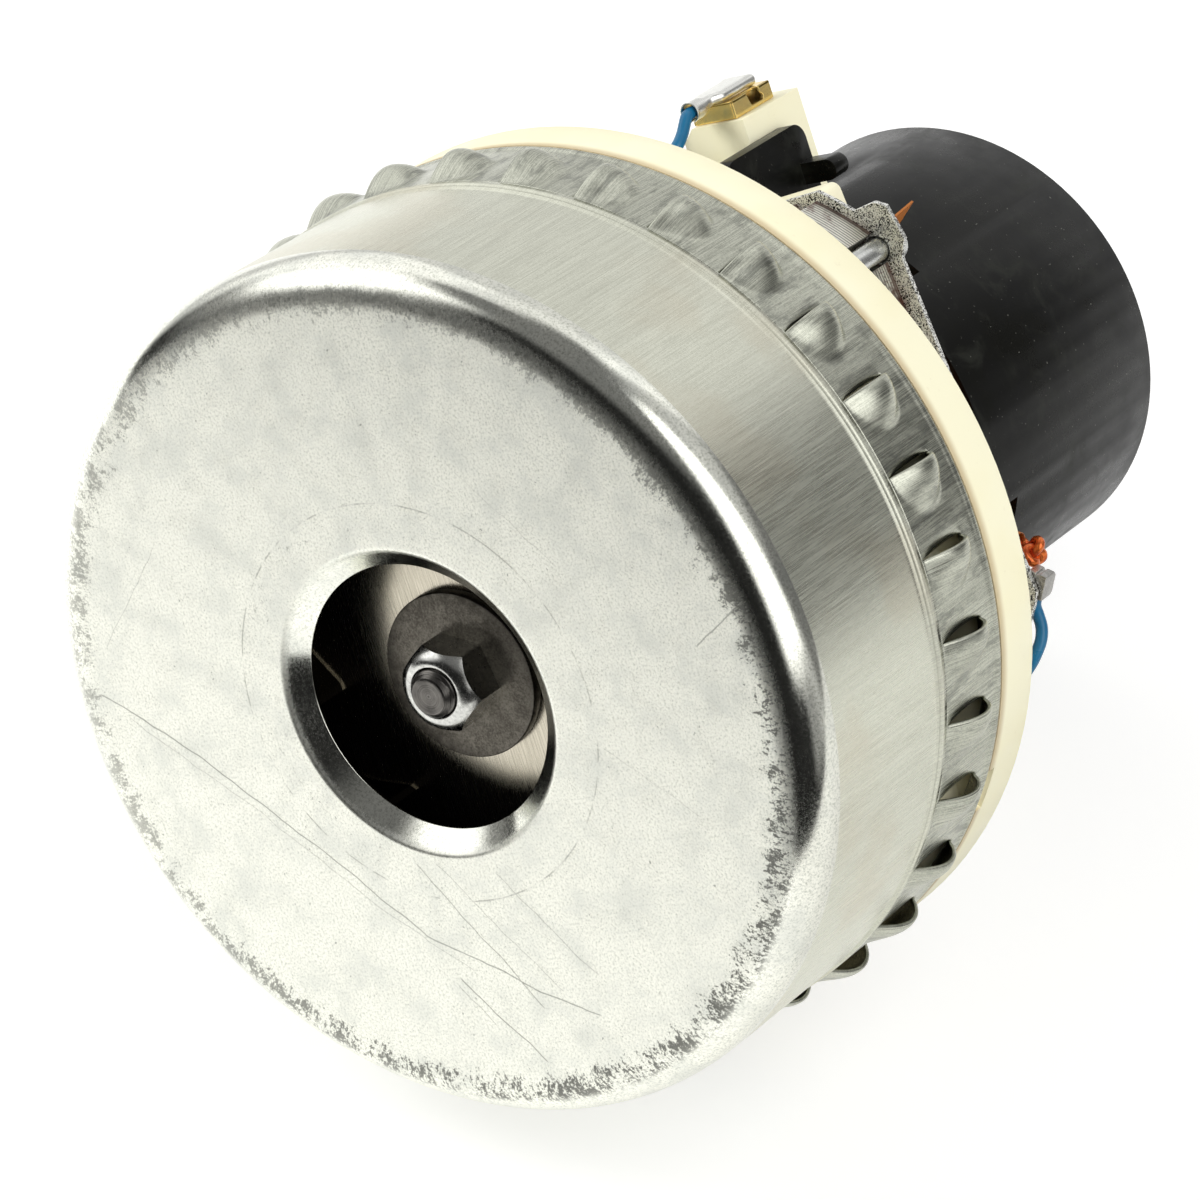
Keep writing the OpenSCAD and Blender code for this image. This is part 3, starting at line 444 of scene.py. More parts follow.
def make_face_zinc():
    """Zinc of the inlet face, with its marks, and of the smoother rolled corner."""
    look = Look("zinc_face", (0.8, 0.81, 0.77), metallic=1.0, rough=0.3)
    speck = look.noise(look.place, 2.3, 4.0, 0.75)
    patch = look.noise(look.place, 0.22, 3.0, 0.6)
    marks = look.most(
        edge_wear(look, speck, patch),
        inlet_marks(look, speck, patch),
        fine_marks(look, patch),
        long_scratches(look),
    )
    # the marks stay on the flat face
    marks = look.mul(marks, look.step(look.z, 0.5, 1.2, 1.0, 0.0))
    color, fine = zinc_grain(look, look.mul(marks, 0.85))
    look.set("Base Color", color)
    on_roll = look.step(look.z, 0.12, 1.1)
    flat_rough = look.plus(look.step(fine, 0.2, 0.8, 0.30, 0.44), look.mul(marks, 0.25))
    roll_rough = look.step(speck, 0.35, 0.75, 0.10, 0.24)
    rough = look.add("ShaderNodeMix", {0: on_roll, 2: flat_rough, 3: roll_rough}, data_type="FLOAT")
    look.set("Roughness", rough.outputs[0])
    look.bump(look.plus(fine, look.mul(marks, -0.5)), look.step(on_roll, 0.0, 1.0, 0.30, 0.16), 0.03)
    return look.material


def make_wall_zinc(name, pale, dark, blotched):
    """Drawn zinc with draw lines along the shaft; it is blotched on the band and tinted tan on the wall."""
    look = Look(name, pale, metallic=1.0, rough=0.3)
    look.set("Anisotropic", 0.35)
    lines = look.noise(look.round_place(420.0, look.mul(look.z, 0.09)), 1.0, 3.0, 0.65)
    bands = look.noise(look.round_place(60.0, look.mul(look.z, 0.03)), 1.0, 3.0, 0.6)
    speck = look.noise(look.place, 3.2, 3.0, 0.7)
    grain = look.plus(look.mul(lines, 0.6), look.mul(speck, 0.4))
    color = look.mix(look.step(grain, 0.38, 0.62), dark, pale)
    color = look.mix(look.mul(look.step(bands, 0.42, 0.68), 0.22), color, dark)
    if blotched:
        mottle = look.noise(look.round_place(30.0, look.mul(look.z, 0.14)), 1.0, 5.0, 0.7)
        blotches = look.mul(look.step(mottle, 0.50, 0.64), 0.5)
        marks = look.most(look.mul(look.step(speck, 0.63, 0.73), 0.35), blotches)
    else:
        cloud = look.noise(look.place, 0.045, 3.0, 0.5)
        color = look.mix(look.mul(look.step(cloud, 0.48, 0.66), 0.3), color, (0.74, 0.66, 0.50))
        marks = look.mul(look.step(speck, 0.63, 0.73), 0.12)
    look.set("Base Color", look.mix(marks, color, (0.18, 0.185, 0.165)))
    # the bead under the belt is duller
    bead = look.mul(look.window(look.z, 35.9, 37.6, 0.3), 0.14)
    look.set("Roughness", look.plus(look.step(lines, 0.25, 0.75, 0.22, 0.38), bead))
    look.bump(look.plus(lines, look.mul(speck, 0.5)), 0.10, 0.02)
    look.set("Tangent", look.add("ShaderNodeTangent", direction_type="RADIAL", axis="Z").outputs[0])
    return look.material


def make_plastic(name, light, dark, rough, grain=6.0, dust=None, shine=0.5):
    look = Look(name, light, rough=rough)
    look.set("Specular IOR Level", shine)
    cloud = look.noise(look.place, 0.09, 4.0, 0.6)
    fine = look.noise(look.place, grain, 2.0, 0.5)
    color = look.mix(look.step(cloud, 0.38, 0.66), light, dark)
    gloss = look.step(cloud, 0.3, 0.7, rough - 0.06, rough + 0.07)
    if dust:
        smear = look.noise(look.place, 0.13, 6.0, 0.72, 0.6)
        film = look.step(smear, 0.50, 0.72)
        color = look.mix(look.mul(film, 0.8), color, dust)
        dots = look.step(look.noise(look.place, 1.9, 1.0, 0.4), 0.76, 0.79)
        color = look.mix(look.mul(dots, 0.5), color, (0.26, 0.26, 0.23))
        gloss = look.plus(gloss, look.mul(film, 0.12))
    look.set("Base Color", color)
    look.set("Roughness", gloss)
    look.bump(fine, 0.12, 0.02)
    return look.material


def make_metal(name, light, dark, rough_low, rough_high, grain=2.5, strength=0.12, metallic=1.0):
    look = Look(name, light, metallic=metallic, rough=rough_low)
    cloud = look.noise(look.place, 0.3, 4.0, 0.6)
    fine = look.noise(look.place, grain, 3.0, 0.65)
    mixed = look.plus(look.mul(cloud, 0.5), look.mul(fine, 0.5))
    look.set("Base Color", look.mix(look.step(mixed, 0.35, 0.65), light, dark))
    look.set("Roughness", look.step(fine, 0.3, 0.7, rough_low, rough_high))
    look.bump(fine, strength, 0.03)
    return look.material


def make_turned(name, light, dark, rough_low, rough_high):
    """Metal turned on a lathe, with fine rings round the shaft axis."""
    look = Look(name, light, metallic=1.0, rough=rough_low)
    rings = look.noise(look.combine(look.mul(look.radius(), 5.0), look.mul(look.z, 5.0), 0.0), 1.0, 2.0, 0.6)
    cloud = look.noise(look.place, 0.4, 4.0, 0.6)
    mixed = look.plus(look.mul(rings, 0.5), look.mul(cloud, 0.5))
    look.set("Base Color", look.mix(look.step(mixed, 0.38, 0.62), light, dark))
    look.set("Roughness", look.step(rings, 0.3, 0.7, rough_low, rough_high))
    look.bump(rings, 0.2, 0.03)
    return look.material


def make_brushed(name, light, dark, rough_low, rough_high, shade_heights):
    """Rolled sheet whose grain runs along X; between the two given heights it is painted near black, painted
    shade for the recess behind the inlet.
    """
    look = Look(name, light, metallic=1.0, rough=rough_low)
    along = look.combine(look.mul(look.x, 0.12), look.mul(look.y, 5.0), look.mul(look.z, 5.0))
    grain = look.noise(along, 1.0, 3.0, 0.6)
    color = look.mix(look.step(grain, 0.3, 0.7), light, dark)
    # painted shade: the sheet between these heights is made near black, as it lies in shade inside the inlet
    color = look.mix(look.window(look.z, *shade_heights, 0.3), color, (0.012, 0.010, 0.008))
    look.set("Base Color", color)
    look.set("Roughness", look.step(grain, 0.3, 0.7, rough_low, rough_high))
    look.bump(grain, 0.12, 0.03)
    return look.material


def make_ivory():
    look = Look("ivory_moulding", (0.96, 0.90, 0.68), rough=0.42)
    cloud = look.noise(look.place, 0.05, 3.0, 0.5)
    fine = look.noise(look.place, 5.0, 2.0, 0.5)
    color = look.mix(look.step(cloud, 0.35, 0.7), (0.975, 0.935, 0.69), (0.96, 0.905, 0.63))
    # painted shade and reflection: a brown band where the flange meets the can, standing for the shadow and
    # the can's reflection there
    lip = look.mul(look.step(look.z, 55.2, 57.2, 1.0, 0.0), look.step(look.radius(), 71.4, 72.4))
    color = look.mix(look.mul(lip, 0.7), color, (0.50, 0.36, 0.18))
    dirt = look.mul(look.step(look.noise(look.place, 0.8, 4.0, 0.7), 0.62, 0.74), 0.2)
    color = look.mix(dirt, color, (0.70, 0.60, 0.40))
    look.set("Base Color", color)
    look.set("Roughness", look.step(cloud, 0.3, 0.7, 0.36, 0.5))
    look.bump(fine, 0.06, 0.02)
    return look.material


def make_lamination():
    look = Look("lamination", (0.42, 0.40, 0.37), metallic=1.0, rough=0.4)
    wave = look.math("SINE", look.mul(look.z, 2 * math.pi / 0.65))
    wobble = look.noise(look.place, 0.8, 4.0, 0.7)
    lines = look.step(look.plus(wave, look.mul(wobble, 0.5)), -0.75, 0.3)
    color = look.mix(lines, (0.33, 0.32, 0.29), (0.97, 0.95, 0.87))
    # red-brown varnish that ran down from the windings, and rust specks on the flats
    varnish = look.step(look.noise(look.place, 0.22, 4.0, 0.65), 0.46, 0.62)
    near_top = look.step(look.z, 90.0, 99.5)
    color = look.mix(look.mul(varnish, near_top, 0.8), color, (0.14, 0.045, 0.025))
    rim = look.step(look.z, 98.6, 99.6)
    color = look.mix(look.mul(rim, 0.75), color, (0.10, 0.02, 0.012))
    rust = look.step(look.noise(look.place, 1.8, 3.0, 0.7), 0.52, 0.62)
    flats = look.step(look.radius(), 50.5, 52.4, 1.0, 0.0)
    color = look.mix(look.mul(rust, flats, 0.7), color, (0.20, 0.12, 0.09))
    look.set("Base Color", color)
    look.set("Roughness", look.step(wobble, 0.3, 0.7, 0.36, 0.5))
    look.bump(lines, 0.4, 0.06)
    return look.material


def make_spangle():
    """Fine bright and dark flecks of a zinc coat."""
    look = Look("galvanised", (0.6, 0.6, 0.58), metallic=0.8, rough=0.4)
    fleck = look.noise(look.place, 1.5, 1.0, 0.5, 2.6)
    fine = look.noise(look.place, 6.0, 2.0, 0.6)
    mixed = look.plus(look.mul(fleck, 0.75), look.mul(fine, 0.25))
    look.set("Base Color", look.mix(look.step(mixed, 0.45, 0.49), (0.04, 0.04, 0.036), (1.0, 1.0, 0.95)))
    look.set("Roughness", look.step(fleck, 0.4, 0.6, 0.5, 0.3))
    look.bump(mixed, 0.5, 0.1)
    return look.material


def make_wire(name, light, dark, pitch):
    """Enamelled wire laid in turns."""
    look = Look(name, light, metallic=0.65, rough=0.3)
    run = look.plus(look.radius(), look.mul(look.z, 0.35))
    wave = look.math("SINE", look.mul(run, 2 * math.pi / pitch))
    wobble = look.noise(look.place, 0.5, 3.0, 0.6)
    turns = look.step(look.plus(wave, wobble), -0.3, 1.4)
    look.set("Base Color", look.mix(turns, dark, light))
    look.bump(turns, 0.7, 0.2)
    return look.material


def make_enamel():
    """Single enamelled wires, clear and orange red."""
    look = Look("enamelled_wire", (0.75, 0.17, 0.04), metallic=0.7, rough=0.16)
    cloud = look.noise(look.place, 0.7, 3.0, 0.6)
    look.set("Base Color", look.mix(look.step(cloud, 0.38, 0.62), (0.82, 0.20, 0.045), (0.45, 0.07, 0.02)))
    return look.material


# Heights over which the first fan's front plate and blades are painted near black, painted shade deep inside
# the inlet
FAN_SHADE_HEIGHTS = (2.0, 13.3)

FACE_ZINC = make_face_zinc()
WALL_ZINC = make_wall_zinc("zinc_wall", (0.95, 0.96, 0.82), (0.72, 0.725, 0.61), blotched=False)
BAND_ZINC = make_wall_zinc("zinc_band", (0.78, 0.79, 0.67), (0.42, 0.43, 0.36), blotched=True)
# painted shade: the inner side of the can sheet is made dark, standing for the unlit inside of the can
INNER_ZINC_SHADED = make_metal("zinc_inside_shaded", (0.22, 0.21, 0.155), (0.10, 0.095, 0.07), 0.25, 0.4)
IVORY = make_ivory()
LAMINATION = make_lamination()
SPANGLE = make_spangle()
BLACK = make_plastic("black_moulding", (0.004, 0.004, 0.0028), (0.002, 0.002, 0.0016), 0.30, 5.0,
                     dust=(0.015, 0.016, 0.012), shine=0.23)
DARK_FAN = make_plastic("fan_plastic", (0.05, 0.05, 0.05), (0.03, 0.03, 0.03), 0.5)
BLUE = make_plastic("blue_insulation", (0.010, 0.155, 0.30), (0.008, 0.12, 0.25), 0.28)
CARBON = make_plastic("carbon", (0.04, 0.04, 0.042), (0.02, 0.02, 0.02), 0.5, 8.0)
PAPER = make_plastic("amber_paper", (0.42, 0.13, 0.015), (0.28, 0.075, 0.01), 0.35, 3.0)
RESIN = make_plastic("resin", (0.12, 0.05, 0.02), (0.08, 0.03, 0.015), 0.4)
PLAIN_STEEL = make_metal("plain_steel", (0.62, 0.61, 0.58), (0.40, 0.39, 0.37), 0.22, 0.38)
ZINC_STEEL = make_metal("zinc_steel", (0.80, 0.81, 0.79), (0.66, 0.67, 0.64), 0.22, 0.36)
WASHER_STEEL = make_metal("washer_steel", (0.20, 0.185, 0.155), (0.10, 0.09, 0.075), 0.34, 0.50, 3.0, 0.3)
DARK_STEEL = make_turned("dark_steel", (0.19, 0.18, 0.165), (0.08, 0.075, 0.07), 0.25, 0.40)
NUT_STEEL = make_metal("nut_steel", (0.72, 0.72, 0.68), (0.52, 0.52, 0.49), 0.16, 0.28, 1.6, 0.08)
BEARING_STEEL = make_turned("bearing_steel", (0.72, 0.72, 0.73), (0.58, 0.58, 0.6), 0.1, 0.2)
FAN_ALLOY = make_brushed("fan_alloy", (0.64, 0.59, 0.48), (0.50, 0.46, 0.37), 0.20, 0.30, FAN_SHADE_HEIGHTS)
BRASS = make_metal("brass_sheet", (1.0, 0.77, 0.30), (0.97, 0.70, 0.24), 0.18, 0.24, 0.9, 0.01, 0.85)
TINNED = make_metal("tinned_sheet", (0.99, 0.99, 0.94), (0.90, 0.90, 0.85), 0.26, 0.34, 1.2, 0.03)
SPRING_STEEL = make_metal("spring_steel", (0.66, 0.66, 0.66), (0.5, 0.5, 0.5), 0.15, 0.28)
COPPER = make_wire("copper_wire", (0.72, 0.22, 0.06), (0.24, 0.05, 0.015), 1.1)
ENAMEL = make_enamel()
COPPER_BAR = make_turned("copper_bar", (0.80, 0.42, 0.26), (0.62, 0.30, 0.17), 0.2, 0.34)

# Looks of the CAD nodes; a name without _a or _b stands for the nodes of both sides
CAD_LOOKS = {
    "fan_can": FACE_ZINC, "fan_stage_one": FAN_ALLOY, "fan_stage_two": FAN_ALLOY,
    "return_guide": PLAIN_STEEL, "eye_plate": ZINC_STEEL, "shaft_nut": NUT_STEEL,
    "clamp_washers": WASHER_STEEL, "fan_spacer": PLAIN_STEEL, "bearing_collar": PLAIN_STEEL,
    "shaft": DARK_STEEL, "motor_bracket": IVORY,
    "lower_bearing_outer": BEARING_STEEL, "lower_bearing_inner": BEARING_STEEL,
    "lower_bearing_balls": BEARING_STEEL, "upper_bearing_outer": BEARING_STEEL,
    "upper_bearing_inner": BEARING_STEEL, "upper_bearing_balls": BEARING_STEEL,
    "armature_core": LAMINATION, "armature_winding": COPPER, "commutator_bars": COPPER_BAR,
    "commutator_hub": RESIN, "cooling_fan": DARK_FAN, "stator_core": LAMINATION,
    "clamp_plate": SPANGLE, "field_coil": COPPER, "slot_papers": PAPER, "lead_out": COPPER,
    "paper_tip": PAPER, "lead_splice": SPANGLE, "stack_bolts": ZINC_STEEL, "tie_bolts": ZINC_STEEL,
    "brush_bracket": IVORY, "brush_tube": BRASS, "brush": CARBON, "brush_spring": SPRING_STEEL,
    "brush_clip": BRASS, "receptacle": TINNED, "jumper_lead": BLUE, "hood": BLACK,
}

# Nodes whose edges are rounded, with the width of the rounding in millimetres
SOFT_EDGES = {
    "hood": 1.2, "brush_bracket": 0.4, "motor_bracket": 0.25, "clamp_plate": 0.12, "clamp_washers": 0.2,
    "stack_bolts": 0.2, "tie_bolts": 0.2, "commutator_bars": 0.1, "brush_a": 0.15, "brush_b": 0.15,
}


# Modifiers and the looks of the CAD nodes

def weld(piece, distance):
    """Joins points that lie closer than a distance in metres."""
    piece.modifiers.new("weld", "WELD").merge_threshold = distance


def split_edges(piece, angle):
    piece.modifiers.new("edges", "EDGE_SPLIT").split_angle = math.radians(angle)


def round_edges(piece, width, segments=2, angle=35):
    made = piece.modifiers.new("round_over", "BEVEL")
    made.width = width * MM
    made.segments = segments
    made.limit_method = "ANGLE"
    made.angle_limit = math.radians(angle)
    made.harden_normals = True


def thicken(piece, thickness, offset=-1.0):
    made = piece.modifiers.new("sheet", "SOLIDIFY")
    made.thickness = thickness * MM
    made.offset = offset
    return made


def subdivide(piece, levels=1):
    made = piece.modifiers.new("smooth", "SUBSURF")
    made.levels = levels
    made.render_levels = levels
    return made


def shade_smooth(mesh):
    mesh.polygons.foreach_set("use_smooth", [True] * len(mesh.polygons))


for name, piece in nodes.items():
    piece.data.materials.clear()
    piece.data.materials.append(CAD_LOOKS[name.removesuffix("_a").removesuffix("_b")])
    shade_smooth(piece.data)
    weld(piece, 1e-6)
    if name in SOFT_EDGES:
        round_edges(piece, SOFT_EDGES[name], segments=3, angle=38)
    else:
        split_edges(piece, 28)


# Mesh helpers

def new_piece(name, points, faces, material, slot, body="frame", turn=0.0):
    """A mesh from points in millimetres, turned about the shaft axis by an angle in degrees."""
    c = math.cos(math.radians(turn))
    s = math.sin(math.radians(turn))
    mesh = bpy.data.meshes.new(name)
    mesh.from_pydata([((x * c - y * s) * MM, (x * s + y * c) * MM, z * MM) for x, y, z in points], [], faces)
    mesh.validate()
    piece = bpy.data.objects.new(name, mesh)
    scene.collection.objects.link(piece)
    shade_smooth(mesh)
    mesh.materials.append(material)
    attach(piece, body)
    return piece


def arc(center, radius, start, end, count):
    """Points (r, z) along an arc, angles in degrees."""
    out = []
    for i in range(count + 1):
        a = math.radians(start + (end - start) * i / count)
        out.append((center[0] + radius * math.cos(a), center[1] + radius * math.sin(a)))
    return out


def grid_faces(rows, columns, closed=False, flip=False):
    """Faces between rows of points; closed joins the last point of a row to its first."""
    faces = []
    last = columns if closed else columns - 1
    for i in range(rows - 1):
        for j in range(last):
            k = (j + 1) % columns
            faces.append((i * columns + j, i * columns + k, (i + 1) * columns + k, (i + 1) * columns + j))
    return [face[::-1] for face in faces] if flip else faces


def spun(profile, count):
    """Points and faces of a profile of (r, z) points turned round Z."""
    points = []
    for k in range(count + 1):
        a = 2 * math.pi * k / count
        points += [(r * math.cos(a), r * math.sin(a), z) for r, z in profile]
    return points, grid_faces(count + 1, len(profile), flip=True)


def plate(outline, low, high, axis):
    """A flat outline made thick along one axis (0, 1 or 2); its points give the other two axes in order."""
    count = len(outline)
    points = []
    for level in (low, high):
        for u, v in outline:
            p = [u, v]
            p.insert(axis, level)
            points.append(tuple(p))
    sides = [(i, (i + 1) % count, count + (i + 1) % count, count + i) for i in range(count)]
    return points, [tuple(range(count))[::-1], tuple(range(count, 2 * count))] + sides


def joined(parts):
    """Points and faces of several parts as one."""
    points = []
    faces = []
    for part_points, part_faces in parts:
        start = len(points)
        points += part_points
        faces += [tuple(start + i for i in face) for face in part_faces]
    return points, faces


def smooth_path(knots, steps):
    """Points on a smooth curve through the knots."""
    knots = [Vector(k) for k in knots]
    ends = [2 * knots[0] - knots[1]] + knots + [2 * knots[-1] - knots[-2]]
    out = []
    for i in range(1, len(ends) - 2):
        p0, p1, p2, p3 = ends[i - 1:i + 3]
        for j in range(steps):
            t = j / steps
            out.append(0.5 * (
                2 * p1 + (p2 - p0) * t + (2 * p0 - 5 * p1 + 4 * p2 - p3) * t * t
                + (3 * p1 - p0 - 3 * p2 + p3) * t * t * t
            ))
    out.append(knots[-1])
    return out


def tube(path, radius, sides=12, closed=False):
    """Points and faces of a round wire along a path; closed joins its ends."""
    points = []
    count = len(path)
    side = None
    for i, p in enumerate(path):
        before = path[(i - 1) % count] if closed or i > 0 else p
        after = path[(i + 1) % count] if closed or i < count - 1 else p
        way = (after - before).normalized()
        if side is None:
            side = way.orthogonal().normalized()
        side = (side - way * side.dot(way)).normalized()
        other = way.cross(side)
        for k in range(sides):
            a = 2 * math.pi * k / sides
            points.append(tuple(p + radius * (math.cos(a) * side + math.sin(a) * other)))
    faces = grid_faces(count, sides, True)
    if closed:
        last = (count - 1) * sides
        faces += [(last + k, last + (k + 1) % sides, (k + 1) % sides, k) for k in range(sides)]
    else:
        faces += [tuple(range(sides))[::-1], tuple(range((count - 1) * sides, count * sides))]
    return points, faces


# Fan can: a spun shell up to the joggle, and a belt of scoops pressed out of the band

def can_profile():
    """Points (r, z) from the cut edge of the inlet over the face, corner and wall to the belt."""
    lip = arc((LIP_START, LIP_R), LIP_R, 270 - LIP_TILT, 270, 12)
    lip_r, lip_z = lip[0]
    cone = [(THROAT_R + (lip_r - THROAT_R) * t, THROAT_H + (lip_z - THROAT_H) * t)
            for t in (0.0, 0.04, 0.3, 0.6, 0.9)]
    flat = [(r, 0.0) for r in (28.0, 34.0, 42.0, 50.0, 58.0, 63.0)]
    corner = arc((CAN_R - CORNER_R, CORNER_R), CORNER_R, 270, 360, 24)
    wall = [(CAN_R, z) for z in (9.0, 14.0, 22.0, 30.0, 35.0, 36.0)]
    bead = [(CAN_R + out, z) for out, z in ((0.2, 36.2), (0.22, 36.4), (0.04, 36.7), (0.3, 36.95))]
    return cone + lip + flat + corner + wall + bead + [(BAND_R, 37.3), (BAND_R, BAND_Z0)]


def leaf(u):
    """Outline of a scoop's mouth, pointed at u = -1 and round at u = 1, with a peak of 1."""
    low_end = 1.1
    high_end = 0.62
    top = (low_end - high_end) / (low_end + high_end)
    return (1 + u) ** low_end * (1 - u) ** high_end / ((1 + top) ** low_end * (1 - top) ** high_end)


def scoop_height(run, u):
    """Height of a scoop at a distance round the can from its mouth, u from -1 to 1 along the shaft."""
    t = run / SCOOP_RUN
    if t >= 1:
        return 0.0
    v = u / math.sqrt(1 - t ** 3)
    if abs(v) >= 1:
        return 0.0
    # the edge of the mouth is a little lower than the crest behind it
    crest = 0.92 + 0.08 * min(1.0, t / 0.18)
    return SCOOP_RISE * crest * (1 - t * t) ** 1.1 * leaf(v) ** (1 + 0.5 * t)


def belt():
    """The band with its scoops, one column of points for each run round the can from a scoop's mouth."""
    pitch = BAND_R * SCOOP_STEP
    # run and the depth of the dent there
    columns = [(run, 0.0) for run in (0.0, 0.45, 1.0, 1.6, 2.3, 3.1, 4.0, 4.9, 5.8, 6.6, 7.3)]
    columns += [(8.0, 0.10), (9.0, 0.05), (10.4, 0.0), (11.8, 0.0), (12.8, 0.12), (13.4, 0.42), (pitch, 0.95)]
    across = [-math.cos(math.pi * j / 18) for j in range(19)]
    # height, place across the scoop from -1 to 1, and how far the plain band stands out there
    rows = [(BAND_Z0, None, 0.0)] + [(SCOOP_Z + SCOOP_HALF * u, u, 0.0) for u in across]
    rows += [(51.2, None, 0.0), (52.4, None, 0.0), (53.2, None, 0.0)]
    rows += [(53.6, None, 0.12), (54.0, None, 0.28), (54.7, None, 0.28), (CAN_H, None, 0.1)]
    points = []
    faces = []
    for k in range(SCOOP_N):
        start = len(points)
        for run, dent in columns:
            a = SCOOP_PHASE + k * SCOOP_STEP + run / BAND_R
            for z, u, swell in rows:
                lift = 0.0 if u is None else scoop_height(run, u) - dent * leaf(u)
                r = BAND_R + lift + swell
                points.append((r * math.cos(a), r * math.sin(a), z))
        faces += [tuple(start + j for j in face) for face in grid_faces(len(columns), len(rows), flip=True)]
    return points, faces


def build_can():
    shell = new_piece("can_shell", *spun(can_profile(), 330), FACE_ZINC, slot="zinc_steel")
    scoops = new_piece("can_belt", *belt(), BAND_ZINC, slot="zinc_steel")
    shell.data.materials.append(WALL_ZINC)
    for piece in (shell, scoops):
        weld(piece, 2e-6)
        thicken(piece, SHEET).material_offset = len(piece.data.materials)
        # the inner side gets the dark inside material, painted shade
        piece.data.materials.append(INNER_ZINC_SHADED)
        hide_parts("fan_can")
    subdivide(scoops).boundary_smooth = "PRESERVE_CORNERS"
    split_edges(scoops, 50)
    # the wall above the rolled corner has the second material
    for polygon in shell.data.polygons:
        if polygon.center.z > (CORNER_R + 0.2) * MM and polygon.center.xy.length > 50 * MM:
            polygon.material_index = 1


# Shaft with its threaded end, and the domed nut

def build_shaft():
    """Turned shaft; its lower end has a thread, 8 mm across."""
    crest_r = 4.0
    pitch = 1.25
    depth = 0.62
    thread_z0 = 3.1
    thread_z1 = 13.75
    columns = 60
    angles = [2 * math.pi * k / columns for k in range(columns)]
    domed_end = [(0.0, 3.12), (1.2, 3.1), (2.4, 3.02), (3.05, 3.0)]
    turned = [(4.0, 13.8), (4.0, 52.0), (5.0, 52.0), (5.0, 60.0), (6.0, 60.0), (6.0, 141.0), (4.0, 141.0),
              (4.0, 158.6), (3.6, 159.0), (0.0, 159.0)]

    def circles(profile):
        return [[(r * math.cos(a), r * math.sin(a), z) for a in angles] for r, z in profile]

    rings = circles(domed_end)
    z = thread_z0
    while z < thread_z1:
        ring = []
        for k, a in enumerate(angles):
            phase = (z / pitch - k / columns) % 1.0
            crest = 1 - abs(2 * phase - 1)
            r = min(crest_r - depth * (1 - min(1.0, 1.25 * crest)), 3.15 + (z - thread_z0) * 0.9)
            ring.append((r * math.cos(a), r * math.sin(a), z))
        rings.append(ring)
        z += pitch / 10
    rings += circles(turned)
    points = [point for ring in rings for point in ring]
    faces = grid_faces(len(rings), columns, True)
    shaft = new_piece("shaft_turned", points, faces, DARK_STEEL, slot="dark_steel", body="rotor")
    split_edges(shaft, 50)
    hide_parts("shaft")


def build_nut():
    """Hexagon nut, 13 mm across its flats, whose lower face is domed."""
    half_flats = 6.5
    turned = 8
    bore = 4.05
    dome_r = 4.55
    low = 4.5
    high = 11.8
    columns = 144
    points = []
    for k in range(columns):
        a = 2 * math.pi * k / columns
        off = (math.degrees(a) + turned) % 60 - 30
        edge = half_flats / math.cos(math.radians(off))
        section = [(bore, high), (bore, 5.6), (4.12, 5.1), (4.2, 4.7), (4.34, 4.54), (dome_r, low)]
        for j in range(1, 11):
            r = dome_r + (edge - dome_r) * j / 10
            section.append((r, low + 0.27 * (r - dome_r) ** 2))
        rim = section[-1][1]
        section += [(edge, rim + (high - rim) * t) for t in (0.03, 0.5, 0.97, 1.0)]
        section.append((bore, high))
        points += [(r * math.cos(a), r * math.sin(a), z) for r, z in section]
    count = len(points) // columns
    faces = grid_faces(columns, count, flip=True)
    last = (columns - 1) * count
    faces += [(last + j, j, j + 1, last + j + 1) for j in range(count - 1)]
    nut = new_piece("nut_domed", points, faces, NUT_STEEL, slot="zinc_steel", body="rotor")
    weld(nut, 1e-6)
    split_edges(nut, 24)
    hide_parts("shaft_nut")


# Pieces of one side of the motor; side B is side A turned half round

# Route of the blue lead: radius, angle in degrees and height
LEAD_ROUTE = [
    (53.5, -58.6, 102.8), (53.54, -56.35, 102.8), (54.6, -54.6, 102.9), (55.9, -53.1, 102.5),
    (56.9, -51.6, 101.5), (57.4, -49.9, 100.3), (57.6, -47.8, 99.3), (57.4, -45.4, 98.7),
    (57.0, -42.0, 98.6), (56.4, -34.0, 99.4), (55.8, -26.0, 100.4), (55.2, -18.0, 101.6),
    (54.8, -11.0, 103.0), (54.6, -6.0, 104.2), (54.7, -3.2, 105.0), (55.1, -1.2, 106.0),
    (55.9, -0.2, 107.4), (57.2, 0.0, 109.4), (58.5, 0.0, 110.9), (59.4, 0.0, 112.0),
    (CRIMP_X, 0.0, 113.2), (CRIMP_X, 0.0, 115.3),
]


def polar(r, angle, z):
    a = math.radians(angle)
    return Vector((r * math.cos(a), r * math.sin(a), z))


def build_lead(tag, turn):
    path = smooth_path([polar(*p) for p in LEAD_ROUTE], 4)
    lead = new_piece("lead_" + tag, *tube(path, LEAD_R, 16), BLUE, slot="blue_insulation", turn=turn)
    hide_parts("jumper_lead_" + tag)


